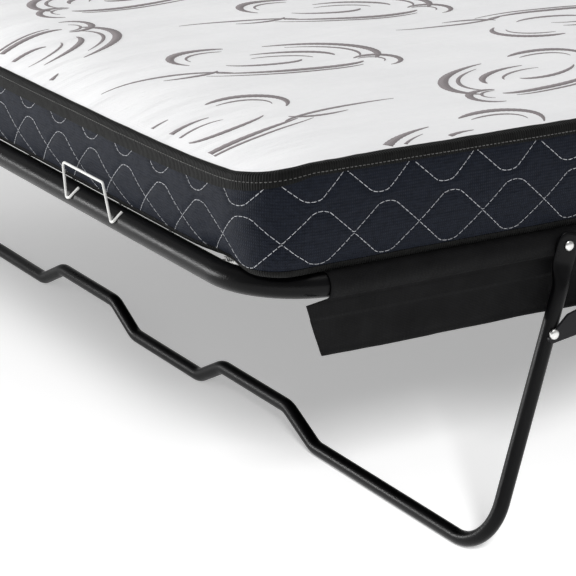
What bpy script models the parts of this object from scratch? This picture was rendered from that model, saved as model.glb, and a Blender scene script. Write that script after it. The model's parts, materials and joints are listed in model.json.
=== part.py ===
"""A double folding bed: two tube decks that fold up about a wheeled centre stand, with a mattress.

X runs along the bed with the foot end at -X, Y runs across it and Z is up.
The origin is on the floor under the middle of the bed. Sizes are in metres.
"""

from math import cos, pi, radians, sin, tan

import bmesh
import bpy
from mathutils import Matrix, Vector

# Driving dimensions
DECK_HALF_LENGTH = 0.940   # bed centre to the end rail's axis
DECK_HALF_WIDTH = 0.648    # bed centre to a side rail's axis
RAIL_HEIGHT = 0.313        # floor to the rails' axes
RAIL_RADIUS = 0.0127
RAIL_CORNER = 0.085
HINGE_X = 0.140            # bed centre to each deck's hinge axis
GAP = 0.0003               # between parts that touch

# U-shaped leg
LEG_RADIUS = 0.008
LEG_PIVOT_IN = 0.332       # end rail's axis to the leg's pivot
LEG_FOOT_IN = 0.2435       # end rail's axis to the floor bar
LEG_OUT = 0.0228           # side rail's axis to the leg's axis, sideways
LEG_CORNER = 0.055
LEG_TAB_OUT = 0.0174       # side rail's axis to the middle of the flattened end
LEG_TAB_HALF_THICK = 0.0024
LEG_TAB_HALF_WIDE = 0.0125
LEG_LOW_Z = LEG_RADIUS
LEG_RISE = 0.028           # height of each hump of the floor bar
LEG_MIDDLE_LOW = 0.083     # half length of the low run in the middle
LEG_HUMP_FROM = 0.137
LEG_HUMP_TO = 0.285
LEG_OUTER_LOW = 0.343      # where the bar is low again, out to the corner
LEG_BEND = 0.035

# Flat strut from the leg to the centre bracket
STRUT_PIN_DOWN = 0.082     # leg pivot to the strut's rivet, measured down
STRUT_PIN_BACK = 0.025     # and towards the end rail
STRUT_TOP_UP = 0.0475      # hinge axis to the strut's upper pin, measured up
STRUT_TOP_OUT = 0.004      # and towards the end rail
STRUT_HALF_WIDE = 0.0125
STRUT_THICK = 0.003
STRUT_IN = LEG_OUT + LEG_RADIUS + 0.0004
STRUT_CUT = 0.009          # rivet to the tip of the strut's slanted end

# Centre stand
BRACKET_OUT = 0.0152       # side rail's axis to the bracket's inner face
BRACKET_THICK = 0.003
BRACKET_EAR_OUT = 0.020    # hinge axis to the ear's outer edge
BRACKET_EAR_IN = 0.025     # hinge axis to the ear's inner edge
BRACKET_SADDLE_IN = 0.060  # hinge axis to where the low middle begins
BRACKET_TOP_UP = 0.066
BRACKET_SADDLE_UP = 0.020
BRACKET_LOW_DOWN = 0.075
BRACKET_EAR_DOWN = 0.030
SUPPORT_DROP = 0.040       # rail axis to the centre support tube's axis
STAND_X = 0.100
STAND_TOP_UP = 0.010
STAND_RADIUS = 0.011
STAND_OUT = BRACKET_OUT + BRACKET_THICK + GAP + STAND_RADIUS
STAND_LOW_Z = 0.092
STAND_CORNER = 0.060
BOSS_RADIUS = 0.009
BOSS_HIGH = 0.006
CASTER_Y = 0.560
CASTER_TRAIL = 0.018
WHEEL_RADIUS = 0.0275
WHEEL_HALF_WIDE = 0.010
FORK_PLAY = 0.0015         # wheel to fork, each side
FORK_THICK = 0.0025
FORK_ROOM = 0.004          # tyre to the fork's roof
FORK_BELOW_AXLE = 0.008

# Fasteners
PIN_RADIUS = 0.004
RIVET_RADIUS = 0.003
HEAD_RADIUS = 0.0052
HINGE_HEAD_RADIUS = 0.0075
STRUT_HEAD_RADIUS = 0.0065
HEAD_HIGH = 0.0024

# Deck cloth and its springs
CLOTH_THICK = 0.0012
CLOTH_FROM = 0.068         # end rail's axis to the cloth's end
CLOTH_HINGE_ROOM = 0.022   # hinge axis to the cloth's other end
FLAP_DOWN = 0.0675         # side rail's axis to the flap's lower edge
FLAP_LEAD = 0.013          # how far the flap's top reaches past the cloth's end
FLAP_SLANT = 0.018
SPRING_RADIUS = 0.0045
SPRING_COUNT = 11
SPRING_REACH = 0.540       # bed centre to the outermost springs, inside the rail's corners
HEM_ROD_RADIUS = 0.0025
HEM_ROD_IN = 0.062
HEM_ROD_SHORT = 0.020      # side rail's inner side to the rod's end
CROSSBAR_X = 0.400
CROSSBAR_RADIUS = 0.0095
CROSSBAR_DROP = 0.002
HINGE_BAR_OUT = 0.045      # hinge axis to the cross tube beside it

# Mattress and its retaining wires
MATTRESS_HALF_LENGTH = 0.947
MATTRESS_HALF_WIDTH = 0.655
MATTRESS_BOTTOM = RAIL_HEIGHT + 0.0146
MATTRESS_TOP = RAIL_HEIGHT + 0.119
MATTRESS_CORNER = 0.070
WIRE_RADIUS = 0.0016
WIRE_TOP_UP = 0.0377       # rail axis to the hoop's top bar
WIRE_LOW_UP = 0.002
WIRE_HOOK_UP = 0.0095
WIRE_HOOK_OUT = 0.0075     # end rail's axis to the hook's tip
WIRE_FROM_SIDE = {         # side rail's axis to the hoop's near and far wires
    "high": (0.2897, 0.3808),
    "low": (0.2733, 0.3740),
    "hook": (0.2650, 0.3615),
}

FEET = {"foot": -1, "head": 1}
SIDES = {"right": -1, "left": 1}


def clear_scene():
    for obj in list(bpy.data.objects):
        bpy.data.objects.remove(obj, do_unlink=True)


def material(name, color, roughness, metallic=0.0):
    made = bpy.data.materials.get(name)
    if made:
        return made
    made = bpy.data.materials.new(name)
    made.use_nodes = True
    shader = made.node_tree.nodes["Principled BSDF"]
    shader.inputs["Base Color"].default_value = (*color, 1.0)
    shader.inputs["Roughness"].default_value = roughness
    shader.inputs["Metallic"].default_value = metallic
    made.diffuse_color = (*color, 1.0)
    return made


BLACK_COAT = ("black_coat", (0.02, 0.02, 0.022), 0.35, 0.0)
ZINC = ("zinc", (0.75, 0.75, 0.77), 0.3, 1.0)
WIRE_COAT = ("wire_coat", (0.85, 0.85, 0.86), 0.35, 0.3)
CLOTH = ("deck_cloth", (0.012, 0.012, 0.013), 0.85, 0.0)
TICKING = ("mattress_ticking", (0.8, 0.8, 0.8), 0.9, 0.0)
RUBBER = ("grey_rubber", (0.12, 0.12, 0.12), 0.7, 0.0)


def finish(name, mesh_data, finish_of, smooth_degrees=35):
    """Make the named object from a bmesh and give it its material."""
    bmesh.ops.recalc_face_normals(mesh_data, faces=mesh_data.faces)
    mesh = bpy.data.meshes.new(name)
    mesh_data.to_mesh(mesh)
    mesh_data.free()
    mesh.shade_smooth()
    mesh.set_sharp_from_angle(angle=radians(smooth_degrees))
    mesh.materials.append(material(*finish_of))
    obj = bpy.data.objects.new(name, mesh)
    bpy.context.scene.collection.objects.link(obj)
    return obj


def filleted(points, radii, step=radians(15)):
    """The points of a path with each inner corner rounded to its radius."""
    points = [Vector(p) for p in points]
    path = [points[0]]
    for before, corner, after, radius in zip(points, points[1:], points[2:], radii):
        arrive = (corner - before).normalized()
        leave = (after - corner).normalized()
        turn = arrive.angle(leave)
        if turn < 1e-4:
            path.append(corner)
            continue
        reach = radius * tan(turn / 2)
        centre = corner + (leave - arrive).normalized() * (radius / cos(turn / 2))
        start = corner - arrive * reach - centre
        axis = arrive.cross(leave)
        count = max(2, round(turn / step))
        for k in range(count + 1):
            path.append(centre + Matrix.Rotation(turn * k / count, 3, axis) @ start)
    path.append(points[-1])
    return path


def sweep(path, sizes, sides, first_normal):
    """A closed tube along a path. Each ring is an ellipse with the half sizes (along normal, across)."""
    mesh_data = bmesh.new()
    rings = []
    normal = Vector(first_normal)
    for k, point in enumerate(path):
        ahead = path[min(k + 1, len(path) - 1)] - path[max(k - 1, 0)]
        if 0 < k < len(path) - 1:
            ahead = (path[k + 1] - point).normalized() + (point - path[k - 1]).normalized()
        ahead.normalize()
        normal = (normal - ahead * normal.dot(ahead)).normalized()
        across = ahead.cross(normal)
        along_size, across_size = sizes[k]
        ring = []
        for j in range(sides):
            turn = 2 * pi * (j + 0.5) / sides
            offset = normal * (along_size * cos(turn)) + across * (across_size * sin(turn))
            ring.append(mesh_data.verts.new(point + offset))
        rings.append(ring)
    for low, high in zip(rings, rings[1:]):
        for j in range(sides):
            following = (j + 1) % sides
            mesh_data.faces.new((low[j], low[following], high[following], high[j]))
    mesh_data.faces.new(rings[0][::-1])
    mesh_data.faces.new(rings[-1])
    return mesh_data


def round_bar(name, path, radius, finish_of, sides=12, first_normal=(0, 0, 1)):
    path = [Vector(p) for p in path]
    return finish(name, sweep(path, [(radius, radius)] * len(path), sides, first_normal), finish_of)


def prism(outline, axis, low, high):
    """A flat outline pushed along X, Y or Z from low to high. The outline's pairs are the other two axes."""
    mesh_data = bmesh.new()
    rings = []
    for level in (low, high):
        ring = []
        for u, v in outline:
            place = {"X": (level, u, v), "Y": (u, level, v), "Z": (u, v, level)}[axis]
            ring.append(mesh_data.verts.new(place))
        rings.append(ring)
    count = len(outline)
    for j in range(count):
        following = (j + 1) % count
        mesh_data.faces.new((rings[0][j], rings[0][following], rings[1][following], rings[1][j]))
    mesh_data.faces.new(rings[0])
    mesh_data.faces.new(rings[1])
    return mesh_data


def circle(u, v, radius, sides=16):
    turns = [2 * pi * (k + 0.5) / sides for k in range(sides)]
    return [(u + radius * cos(turn), v + radius * sin(turn)) for turn in turns]


def rounded(corners, radii, step=radians(18)):
    """A closed outline of corners, each rounded to its radius."""
    outline = []
    count = len(corners)
    for k, corner in enumerate(corners):
        corner = Vector((*corner, 0))
        before = Vector((*corners[k - 1], 0))
        after = Vector((*corners[(k + 1) % count], 0))
        if radii[k] == 0:
            outline.append((corner.x, corner.y))
            continue
        for point in filleted([before, corner, after], [radii[k]], step)[1:-1]:
            outline.append((point.x, point.y))
    return outline


def combine(obj, others, operation):
    """Cut the other objects out of this one, or join them to it, and remove them."""
    for other in others:
        modifier = obj.modifiers.new(operation.lower(), "BOOLEAN")
        modifier.operation = operation
        modifier.solver = "EXACT"
        modifier.object = other
        graph = bpy.context.evaluated_depsgraph_get()
        mesh = bpy.data.meshes.new_from_object(obj.evaluated_get(graph))
        obj.modifiers.clear()
        old_mesh = obj.data
        obj.data = mesh
        bpy.data.meshes.remove(old_mesh)
        mesh.name = obj.name
        bpy.data.objects.remove(other, do_unlink=True)
    obj.data.shade_smooth()
    obj.data.set_sharp_from_angle(angle=radians(35))
    return obj


def drill(obj, holes):
    """Cut round holes along Y, each given as (x, z, radius, low y, high y)."""
    cutters = []
    for x, z, radius, low, high in holes:
        cutters.append(finish("drill", prism(circle(x, z, radius), "Y", low, high), BLACK_COAT))
    return combine(obj, cutters, "DIFFERENCE")


def rivet(name, x, z, side, inner, outer, shank, head=HEAD_RADIUS, finish_of=ZINC):
    """A rivet along Y: a shank from inner to outer, measured from the bed's middle, with a domed head outside."""
    profile = [(shank, inner), (shank, outer + GAP), (head, outer + GAP)]
    for k in range(4):
        turn = k * pi / 8
        profile.append((head * cos(turn) ** 0.5, outer + GAP + HEAD_HIGH * (0.3 + 0.7 * sin(turn))))
    mesh_data = bmesh.new()
    rings = []
    sides = 14
    for radius, level in profile:
        ring = []
        for u, v in circle(x, z, radius, sides):
            ring.append(mesh_data.verts.new((u, side * level, v)))
        rings.append(ring)
    for low, high in zip(rings, rings[1:]):
        for j in range(sides):
            following = (j + 1) % sides
            mesh_data.faces.new((low[j], low[following], high[following], high[j]))
    mesh_data.faces.new(rings[0])
    mesh_data.faces.new(rings[-1])
    return finish(name, mesh_data, finish_of)


def deck_frame(end, way):
    """The U-shaped tube of one deck, drilled for its hinge pins."""
    far = way * DECK_HALF_LENGTH
    near = way * (HINGE_X - 0.016)
    corners = [
        (near, -DECK_HALF_WIDTH, RAIL_HEIGHT),
        (far, -DECK_HALF_WIDTH, RAIL_HEIGHT),
        (far, DECK_HALF_WIDTH, RAIL_HEIGHT),
        (near, DECK_HALF_WIDTH, RAIL_HEIGHT),
    ]
    path = filleted(corners, [RAIL_CORNER, RAIL_CORNER], radians(10))
    frame = round_bar(f"{end}_deck_frame", path, RAIL_RADIUS, BLACK_COAT, sides=16)
    holes = []
    for side in SIDES.values():
        middle = side * DECK_HALF_WIDTH
        reach = RAIL_RADIUS + 0.005
        holes.append((way * HINGE_X, RAIL_HEIGHT, PIN_RADIUS + GAP, middle - reach, middle + reach))
    return drill(frame, holes)


def crossbar(name, x):
    reach = DECK_HALF_WIDTH - RAIL_RADIUS - GAP
    z = RAIL_HEIGHT - CROSSBAR_DROP
    return round_bar(name, [(x, -reach, z), (x, reach, z)], CROSSBAR_RADIUS, BLACK_COAT)


def deck_cloth(end, way):
    """The deck's cloth: flat over the rails, round their outer sides, and hanging as a flap below them."""
    inner = RAIL_RADIUS + GAP
    outer = inner + CLOTH_THICK
    turns = [radians(90 - 15 * k) for k in range(7)]
    half = [(DECK_HALF_WIDTH + outer * cos(t), RAIL_HEIGHT + outer * sin(t)) for t in turns]
    half.append((DECK_HALF_WIDTH + outer, RAIL_HEIGHT - FLAP_DOWN))
    half.append((DECK_HALF_WIDTH + inner, RAIL_HEIGHT - FLAP_DOWN))
    half += [(DECK_HALF_WIDTH + inner * cos(t), RAIL_HEIGHT + inner * sin(t)) for t in turns[::-1]]
    outline = half + [(-y, z) for y, z in half[::-1]]
    start = DECK_HALF_LENGTH - CLOTH_FROM
    finish_at = HINGE_X + CLOTH_HINGE_ROOM
    mesh_data = prism(outline, "X", finish_at, start)
    for vert in mesh_data.verts:
        below = max(0.0, RAIL_HEIGHT - vert.co.z) / FLAP_DOWN
        if vert.co.x > (start + finish_at) / 2:
            vert.co.x += FLAP_LEAD * min(1.0, below * 8) - FLAP_SLANT * below
        vert.co.x *= way
    return finish(f"{end}_deck_cloth", mesh_data, CLOTH)


def spring_row(end, way):
    """The rod in the cloth's hem, with the row of springs that pulls it to the end rail."""
    reach = DECK_HALF_WIDTH - RAIL_RADIUS - HEM_ROD_SHORT
    rod_x = way * (DECK_HALF_LENGTH - HEM_ROD_IN)
    end_x = way * (DECK_HALF_LENGTH - RAIL_RADIUS - GAP)
    ends = [(rod_x, -reach, RAIL_HEIGHT), (rod_x, reach, RAIL_HEIGHT)]
    row = round_bar(f"{end}_deck_springs", ends, HEM_ROD_RADIUS, ZINC, sides=8)
    springs = []
    for k in range(SPRING_COUNT):
        y = (2 * k / (SPRING_COUNT - 1) - 1) * SPRING_REACH
        path = [(rod_x, y, RAIL_HEIGHT), (end_x, y, RAIL_HEIGHT)]
        springs.append(round_bar("spring", path, SPRING_RADIUS, ZINC, sides=8))
    return combine(row, springs, "UNION")


def leg(end, way):
    """One U-shaped leg: flattened where it is riveted to the side rails, with two humps in its floor bar."""
    pivot = Vector((way * (DECK_HALF_LENGTH - LEG_PIVOT_IN), RAIL_HEIGHT))
    foot = Vector((way * (DECK_HALF_LENGTH - LEG_FOOT_IN), LEG_LOW_Z))
    down = (foot - pivot).normalized()

    def on_leg(distance, out):
        place = pivot + down * distance
        return (place.x, DECK_HALF_WIDTH + out, place.y)

    tube_y = DECK_HALF_WIDTH + LEG_OUT
    low = LEG_LOW_Z
    high = LEG_LOW_Z + LEG_RISE
    bar = [(tube_y, low)]
    bar += [(LEG_OUTER_LOW, low), (LEG_HUMP_TO, high), (LEG_HUMP_FROM, high), (LEG_MIDDLE_LOW, low)]
    half = [on_leg(0.060, LEG_OUT)] + [(foot.x, y, z) for y, z in bar]
    corners = half + [(x, -y, z) for x, y, z in half[::-1]]
    radii = [LEG_CORNER] + [LEG_BEND] * 8 + [LEG_CORNER]
    path = filleted(corners, radii, radians(12))
    tab = [
        (-0.0125, LEG_TAB_OUT, 0.0018, 0.0065),
        (-0.0105, LEG_TAB_OUT, LEG_TAB_HALF_THICK, 0.0095),
        (-0.006, LEG_TAB_OUT, LEG_TAB_HALF_THICK, LEG_TAB_HALF_WIDE),
        (0.016, LEG_TAB_OUT, LEG_TAB_HALF_THICK, LEG_TAB_HALF_WIDE),
        (0.025, LEG_TAB_OUT + 0.001, 0.0036, 0.0112),
        (0.034, LEG_OUT - 0.0015, 0.0062, 0.0092),
        (0.044, LEG_OUT, LEG_RADIUS, LEG_RADIUS),
    ]
    start = [Vector(on_leg(distance, out)) for distance, out, _, _ in tab]
    finish_path = [Vector((p.x, -p.y, p.z)) for p in start[::-1]]
    start_sizes = [(thick, wide) for _, _, thick, wide in tab]
    sizes = start_sizes + [(LEG_RADIUS, LEG_RADIUS)] * len(path) + start_sizes[::-1]
    mesh_data = sweep(start + path + finish_path, sizes, 12, (0, 1, 0))
    obj = finish(f"{end}_leg", mesh_data, BLACK_COAT)
    reach = 0.012
    holes = []
    for side in SIDES.values():
        y = side * (DECK_HALF_WIDTH + LEG_TAB_OUT)
        holes.append((pivot.x, pivot.y, RIVET_RADIUS + GAP, y - reach, y + reach))
    return drill(obj, holes)


def leg_rivets(end, way):
    """The rivets that hold the leg's flattened ends to the side rails."""
    x = way * (DECK_HALF_LENGTH - LEG_PIVOT_IN)
    inner = DECK_HALF_WIDTH + RAIL_RADIUS + GAP + CLOTH_THICK + GAP
    outer = DECK_HALF_WIDTH + LEG_TAB_OUT + LEG_TAB_HALF_THICK
    for side_name, side in SIDES.items():
        rivet(f"{end}_leg_rivet_{side_name}", x, RAIL_HEIGHT, side, inner, outer, RIVET_RADIUS)


def struts(end, way):
    """The flat struts, each with the rivet that joins it to the leg."""
    low = Vector((way * (DECK_HALF_LENGTH - LEG_PIVOT_IN + STRUT_PIN_BACK), RAIL_HEIGHT - STRUT_PIN_DOWN))
    top = Vector((way * (HINGE_X + STRUT_TOP_OUT), RAIL_HEIGHT + STRUT_TOP_UP))
    length = (top - low).length
    ahead = (top - low).normalized()
    up = Vector((-ahead.y, ahead.x))
    if up.y < 0:
        up = -up
    wide = STRUT_HALF_WIDE
    corners = [
        (-0.004, -0.68 * wide),
        (0.030, -wide),
        (length + wide, -wide),
        (length + wide, wide),
        (0.020, wide),
        (-STRUT_CUT, -0.003),
    ]
    outline = rounded(corners, [0.003, 0.020, 0.011, 0.011, 0.004, 0.003])
    places = []
    for along, across in outline:
        place = low + ahead * along + up * across
        places.append((place.x, place.y))
    for side_name, side in SIDES.items():
        inner = side * (DECK_HALF_WIDTH + STRUT_IN)
        outer = side * (DECK_HALF_WIDTH + STRUT_IN + STRUT_THICK)
        obj = finish(f"{end}_strut_{side_name}", prism(places, "Y", inner, outer), BLACK_COAT)
        span = (min(inner, outer) - 0.005, max(inner, outer) + 0.005)
        drill(obj, [(low.x, low.y, RIVET_RADIUS + GAP, *span), (top.x, top.y, PIN_RADIUS + GAP, *span)])
        rivet(
            f"{end}_strut_rivet_{side_name}", low.x, low.y, side, abs(inner), abs(outer), RIVET_RADIUS
        )


def bracket(side_name, side):
    """A side plate of the centre stand, drilled for both hinge pins and both strut pins."""
    inner = side * (DECK_HALF_WIDTH + BRACKET_OUT)
    outer = side * (DECK_HALF_WIDTH + BRACKET_OUT + BRACKET_THICK)
    half = [
        (STAND_X, -BRACKET_LOW_DOWN),
        (HINGE_X + BRACKET_EAR_OUT, -BRACKET_EAR_DOWN),
        (HINGE_X + BRACKET_EAR_OUT, BRACKET_TOP_UP),
        (HINGE_X - BRACKET_EAR_IN, BRACKET_TOP_UP),
        (HINGE_X - BRACKET_SADDLE_IN, BRACKET_SADDLE_UP),
    ]
    corners = [(x, RAIL_HEIGHT + up) for x, up in half]
    corners += [(-x, z) for x, z in corners[::-1]]
    half_radii = [0.020, 0.020, 0.016, 0.016, 0.020]
    outline = rounded(corners, half_radii + half_radii[::-1])
    plate = finish(f"centre_bracket_{side_name}", prism(outline, "Y", inner, outer), BLACK_COAT)
    span = (min(inner, outer) - 0.005, max(inner, outer) + 0.005)
    holes = []
    for way in FEET.values():
        holes.append((way * HINGE_X, RAIL_HEIGHT, PIN_RADIUS + GAP, *span))
        strut_x = way * (HINGE_X + STRUT_TOP_OUT)
        holes.append((strut_x, RAIL_HEIGHT + STRUT_TOP_UP, PIN_RADIUS + GAP, *span))
    return drill(plate, holes)


def centre_pins():
    """Hinge pins through the rails and brackets, and strut pins with their heads outside the struts."""
    plate_in = DECK_HALF_WIDTH + BRACKET_OUT
    plate_out = plate_in + BRACKET_THICK
    strut_out = DECK_HALF_WIDTH + STRUT_IN + STRUT_THICK
    rail_in = DECK_HALF_WIDTH - RAIL_RADIUS - 0.002
    high = RAIL_HEIGHT + STRUT_TOP_UP
    for end, way in FEET.items():
        for side_name, side in SIDES.items():
            x = way * HINGE_X
            name = f"{end}_hinge_pin_{side_name}"
            rivet(name, x, RAIL_HEIGHT, side, rail_in, plate_out, PIN_RADIUS, HINGE_HEAD_RADIUS)
            x = way * (HINGE_X + STRUT_TOP_OUT)
            name = f"{end}_strut_pin_{side_name}"
            rivet(name, x, high, side, plate_in, strut_out, PIN_RADIUS, STRUT_HEAD_RADIUS)


def stand_tube(end, way):
    """A bent tube of the centre stand: down from one bracket, across near the floor, and up to the other."""
    y = DECK_HALF_WIDTH + STAND_OUT
    x = way * STAND_X
    top = RAIL_HEIGHT + STAND_TOP_UP
    corners = [(x, -y, top), (x, -y, STAND_LOW_Z), (x, y, STAND_LOW_Z), (x, y, top)]
    path = filleted(corners, [STAND_CORNER, STAND_CORNER])
    tube = round_bar(f"stand_tube_{end}_side", path, STAND_RADIUS, BLACK_COAT, first_normal=(1, 0, 0))
    bosses = []
    for side in SIDES.values():
        outline = circle(x, side * CASTER_Y, BOSS_RADIUS, 12)
        boss = prism(outline, "Z", STAND_LOW_Z - STAND_RADIUS - BOSS_HIGH, STAND_LOW_Z)
        bosses.append(finish("boss", boss, BLACK_COAT))
    return combine(tube, bosses, "UNION")


def caster(name, x, y, way):
    """A swivelling caster: a fork with its stem plate, a wheel and an axle."""
    top = STAND_LOW_Z - STAND_RADIUS - BOSS_HIGH - GAP
    axle_x = x + way * CASTER_TRAIL
    inner = WHEEL_HALF_WIDE + FORK_PLAY
    outer = inner + FORK_THICK
    roof = 2 * WHEEL_RADIUS + FORK_ROOM
    low = WHEEL_RADIUS - FORK_BELOW_AXLE
    legs = [
        (y - outer, low),
        (y - outer, roof + FORK_THICK),
        (y + outer, roof + FORK_THICK),
        (y + outer, low),
        (y + inner, low),
        (y + inner, roof),
        (y - inner, roof),
        (y - inner, low),
    ]
    low_x = min(x - way * 0.012, axle_x + way * 0.010)
    high_x = max(x - way * 0.012, axle_x + way * 0.010)
    fork = finish(f"{name}_fork", prism(legs, "X", low_x, high_x), ZINC)
    collar = finish("collar", prism(circle(x, y, 0.0085, 12), "Z", roof + 0.001, top), ZINC)
    combine(fork, [collar], "UNION")
    drill(fork, [(axle_x, WHEEL_RADIUS, RIVET_RADIUS + GAP, y - 0.03, y + 0.03)])
    wheel = finish(
        f"{name}_wheel",
        prism(circle(axle_x, WHEEL_RADIUS, WHEEL_RADIUS, 24), "Y", y - WHEEL_HALF_WIDE, y + WHEEL_HALF_WIDE),
        RUBBER,
    )
    drill(wheel, [(axle_x, WHEEL_RADIUS, RIVET_RADIUS + GAP, y - 0.03, y + 0.03)])
    axle = prism(circle(axle_x, WHEEL_RADIUS, RIVET_RADIUS, 12), "Y", y - outer - 0.002, y + outer + 0.002)
    finish(f"{name}_axle", axle, ZINC)


def mattress_piece(name, low_x, high_x, rounded_low, rounded_high):
    """A stretch of mattress. Its outer end has rounded corners and its other end is cut square."""
    wide = MATTRESS_HALF_WIDTH
    corners = [(low_x, -wide), (high_x, -wide), (high_x, wide), (low_x, wide)]
    low_round = MATTRESS_CORNER if rounded_low else 0
    high_round = MATTRESS_CORNER if rounded_high else 0
    outline = rounded(corners, [low_round, high_round, high_round, low_round], radians(15))
    mesh_data = prism(outline, "Z", MATTRESS_BOTTOM, MATTRESS_TOP)
    return finish(name, mesh_data, TICKING)


def retaining_wire(name, way, side):
    """A wire hoop that stands on the end rail and keeps the mattress from sliding."""
    x = way * (DECK_HALF_LENGTH + RAIL_RADIUS + GAP + WIRE_RADIUS)
    inner_x = way * (DECK_HALF_LENGTH + WIRE_HOOK_OUT)
    rail_top = RAIL_HEIGHT + RAIL_RADIUS + GAP + WIRE_RADIUS
    near = {key: side * (DECK_HALF_WIDTH - pair[0]) for key, pair in WIRE_FROM_SIDE.items()}
    far = {key: side * (DECK_HALF_WIDTH - pair[1]) for key, pair in WIRE_FROM_SIDE.items()}
    low_z = RAIL_HEIGHT + WIRE_LOW_UP
    high_z = RAIL_HEIGHT + WIRE_TOP_UP
    hook_z = RAIL_HEIGHT + WIRE_HOOK_UP
    corners = [
        (inner_x, near["hook"], rail_top),
        (x, near["hook"], hook_z),
        (x, near["low"], low_z),
        (x, near["high"], high_z),
        (x, far["high"], high_z),
        (x, far["low"], low_z),
        (x, far["hook"], hook_z),
        (inner_x, far["hook"], rail_top),
    ]
    path = filleted(corners, [0.003, 0.003, 0.004, 0.004, 0.003, 0.003], radians(45))
    return round_bar(name, path, WIRE_RADIUS, WIRE_COAT, sides=6, first_normal=(1, 0, 0))


def build():
    clear_scene()
    for end, way in FEET.items():
        deck_frame(end, way)
        crossbar(f"{end}_crossbar", way * CROSSBAR_X)
        crossbar(f"{end}_hinge_crossbar", way * (HINGE_X + HINGE_BAR_OUT))
        deck_cloth(end, way)
        spring_row(end, way)
        leg(end, way)
        leg_rivets(end, way)
        struts(end, way)
        stand_tube(end, way)
        for side_name, side in SIDES.items():
            retaining_wire(f"{end}_retaining_wire_{side_name}", way, side)
            caster(f"{end}_caster_{side_name}", way * STAND_X, side * CASTER_Y, way)
        outer = way * MATTRESS_HALF_LENGTH
        inner = way * (HINGE_X + GAP)
        low_x, high_x = min(outer, inner), max(outer, inner)
        mattress_piece(f"{end}_mattress", low_x, high_x, way < 0, way > 0)
    for side_name, side in SIDES.items():
        bracket(side_name, side)
    centre_pins()
    reach = DECK_HALF_WIDTH + BRACKET_OUT - GAP
    support_z = RAIL_HEIGHT - SUPPORT_DROP
    path = [(0, -reach, support_z), (0, reach, support_z)]
    round_bar("centre_support_tube", path, STAND_RADIUS, BLACK_COAT)
    mattress_piece("centre_mattress", -HINGE_X + GAP, HINGE_X - GAP, False, False)


build()
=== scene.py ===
# %% [markdown]
# # A double folding bed
# The steel frame comes first and is fixed: tubes, hinges and casters already have their real sizes and
# places. This lesson builds the looks around it: powder-coated tubes, cloth decks with sprung ends, and a
# quilted mattress. Every frame piece says which part of the frame it moves with, so the bed can fold later.

import json
from math import ceil, cos, exp, hypot, pi, radians, sin, tan

import bmesh
import bpy
import numpy as np
from mathutils import Matrix, Vector, noise
from mathutils.bvhtree import BVHTree

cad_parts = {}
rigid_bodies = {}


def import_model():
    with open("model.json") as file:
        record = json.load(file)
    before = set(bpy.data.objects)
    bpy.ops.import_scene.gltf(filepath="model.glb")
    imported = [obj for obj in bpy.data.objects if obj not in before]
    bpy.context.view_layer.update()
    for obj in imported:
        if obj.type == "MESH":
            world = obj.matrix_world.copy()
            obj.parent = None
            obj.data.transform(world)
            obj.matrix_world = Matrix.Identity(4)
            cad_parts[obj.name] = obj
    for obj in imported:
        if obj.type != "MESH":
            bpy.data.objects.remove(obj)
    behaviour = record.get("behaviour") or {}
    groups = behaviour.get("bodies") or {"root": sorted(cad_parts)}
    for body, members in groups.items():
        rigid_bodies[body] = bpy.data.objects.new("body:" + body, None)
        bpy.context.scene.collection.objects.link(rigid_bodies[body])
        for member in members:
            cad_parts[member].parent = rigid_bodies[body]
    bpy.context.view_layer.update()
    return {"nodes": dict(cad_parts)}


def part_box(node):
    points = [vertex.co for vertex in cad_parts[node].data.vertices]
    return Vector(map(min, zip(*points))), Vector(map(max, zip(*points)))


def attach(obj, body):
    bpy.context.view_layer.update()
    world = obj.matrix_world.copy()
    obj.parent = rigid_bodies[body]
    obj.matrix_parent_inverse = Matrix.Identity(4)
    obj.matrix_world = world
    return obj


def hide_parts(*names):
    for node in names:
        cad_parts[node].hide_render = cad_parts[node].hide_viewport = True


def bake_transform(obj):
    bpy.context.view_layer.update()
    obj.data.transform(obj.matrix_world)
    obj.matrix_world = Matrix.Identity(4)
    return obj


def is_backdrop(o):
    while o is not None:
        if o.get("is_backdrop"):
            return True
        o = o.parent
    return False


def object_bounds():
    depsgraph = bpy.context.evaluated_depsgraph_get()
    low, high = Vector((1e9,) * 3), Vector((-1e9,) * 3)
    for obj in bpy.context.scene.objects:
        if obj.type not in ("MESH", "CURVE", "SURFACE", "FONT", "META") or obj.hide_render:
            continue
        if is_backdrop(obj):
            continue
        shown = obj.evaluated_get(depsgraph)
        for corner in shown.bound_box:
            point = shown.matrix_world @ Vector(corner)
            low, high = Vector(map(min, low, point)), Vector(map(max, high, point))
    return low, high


for leftover in list(bpy.data.objects):
    bpy.data.objects.remove(leftover, do_unlink=True)
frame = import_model()
nodes = frame["nodes"]
ENDS = {"foot": -1, "head": 1}
SIDES = {"right": -1, "left": 1}

# %% [markdown]
# ## Where the rails are
# Everything is placed from the tube frame. A rail's axis lies one tube radius inside the frame's box, so
# the box of one deck frame gives the height of the rails and the two lines that they follow. The pins'
# boxes give the pivots.

# %% Measure the rails and the pivots
def middle(node):
    """The middle of a node's box, rounded to a tenth of a millimetre."""
    low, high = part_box(node)
    return Vector([round((a + b) / 2, 4) for a, b in zip(low, high)])


frame_low, frame_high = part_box("foot_deck_frame")
RAIL_RADIUS = 0.0127
rail_z = round((frame_low.z + frame_high.z) / 2, 4)
rail_x = round(-frame_low.x - RAIL_RADIUS, 4)
rail_y = round(frame_high.y - RAIL_RADIUS, 4)
hinge_x = middle("head_hinge_pin_left").x
leg_pivot = middle("head_leg_rivet_left")
print("rail axes: x", rail_x, "y", rail_y, "z", rail_z, "hinges at", hinge_x)
print("leg pivot", leg_pivot[:])

# %% [markdown]
# ## Camera
# A long lens from low beside the foot end keeps the tubes nearly parallel. The camera is placed from the
# bed's near corner, where the two rails' axes would meet.

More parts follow.
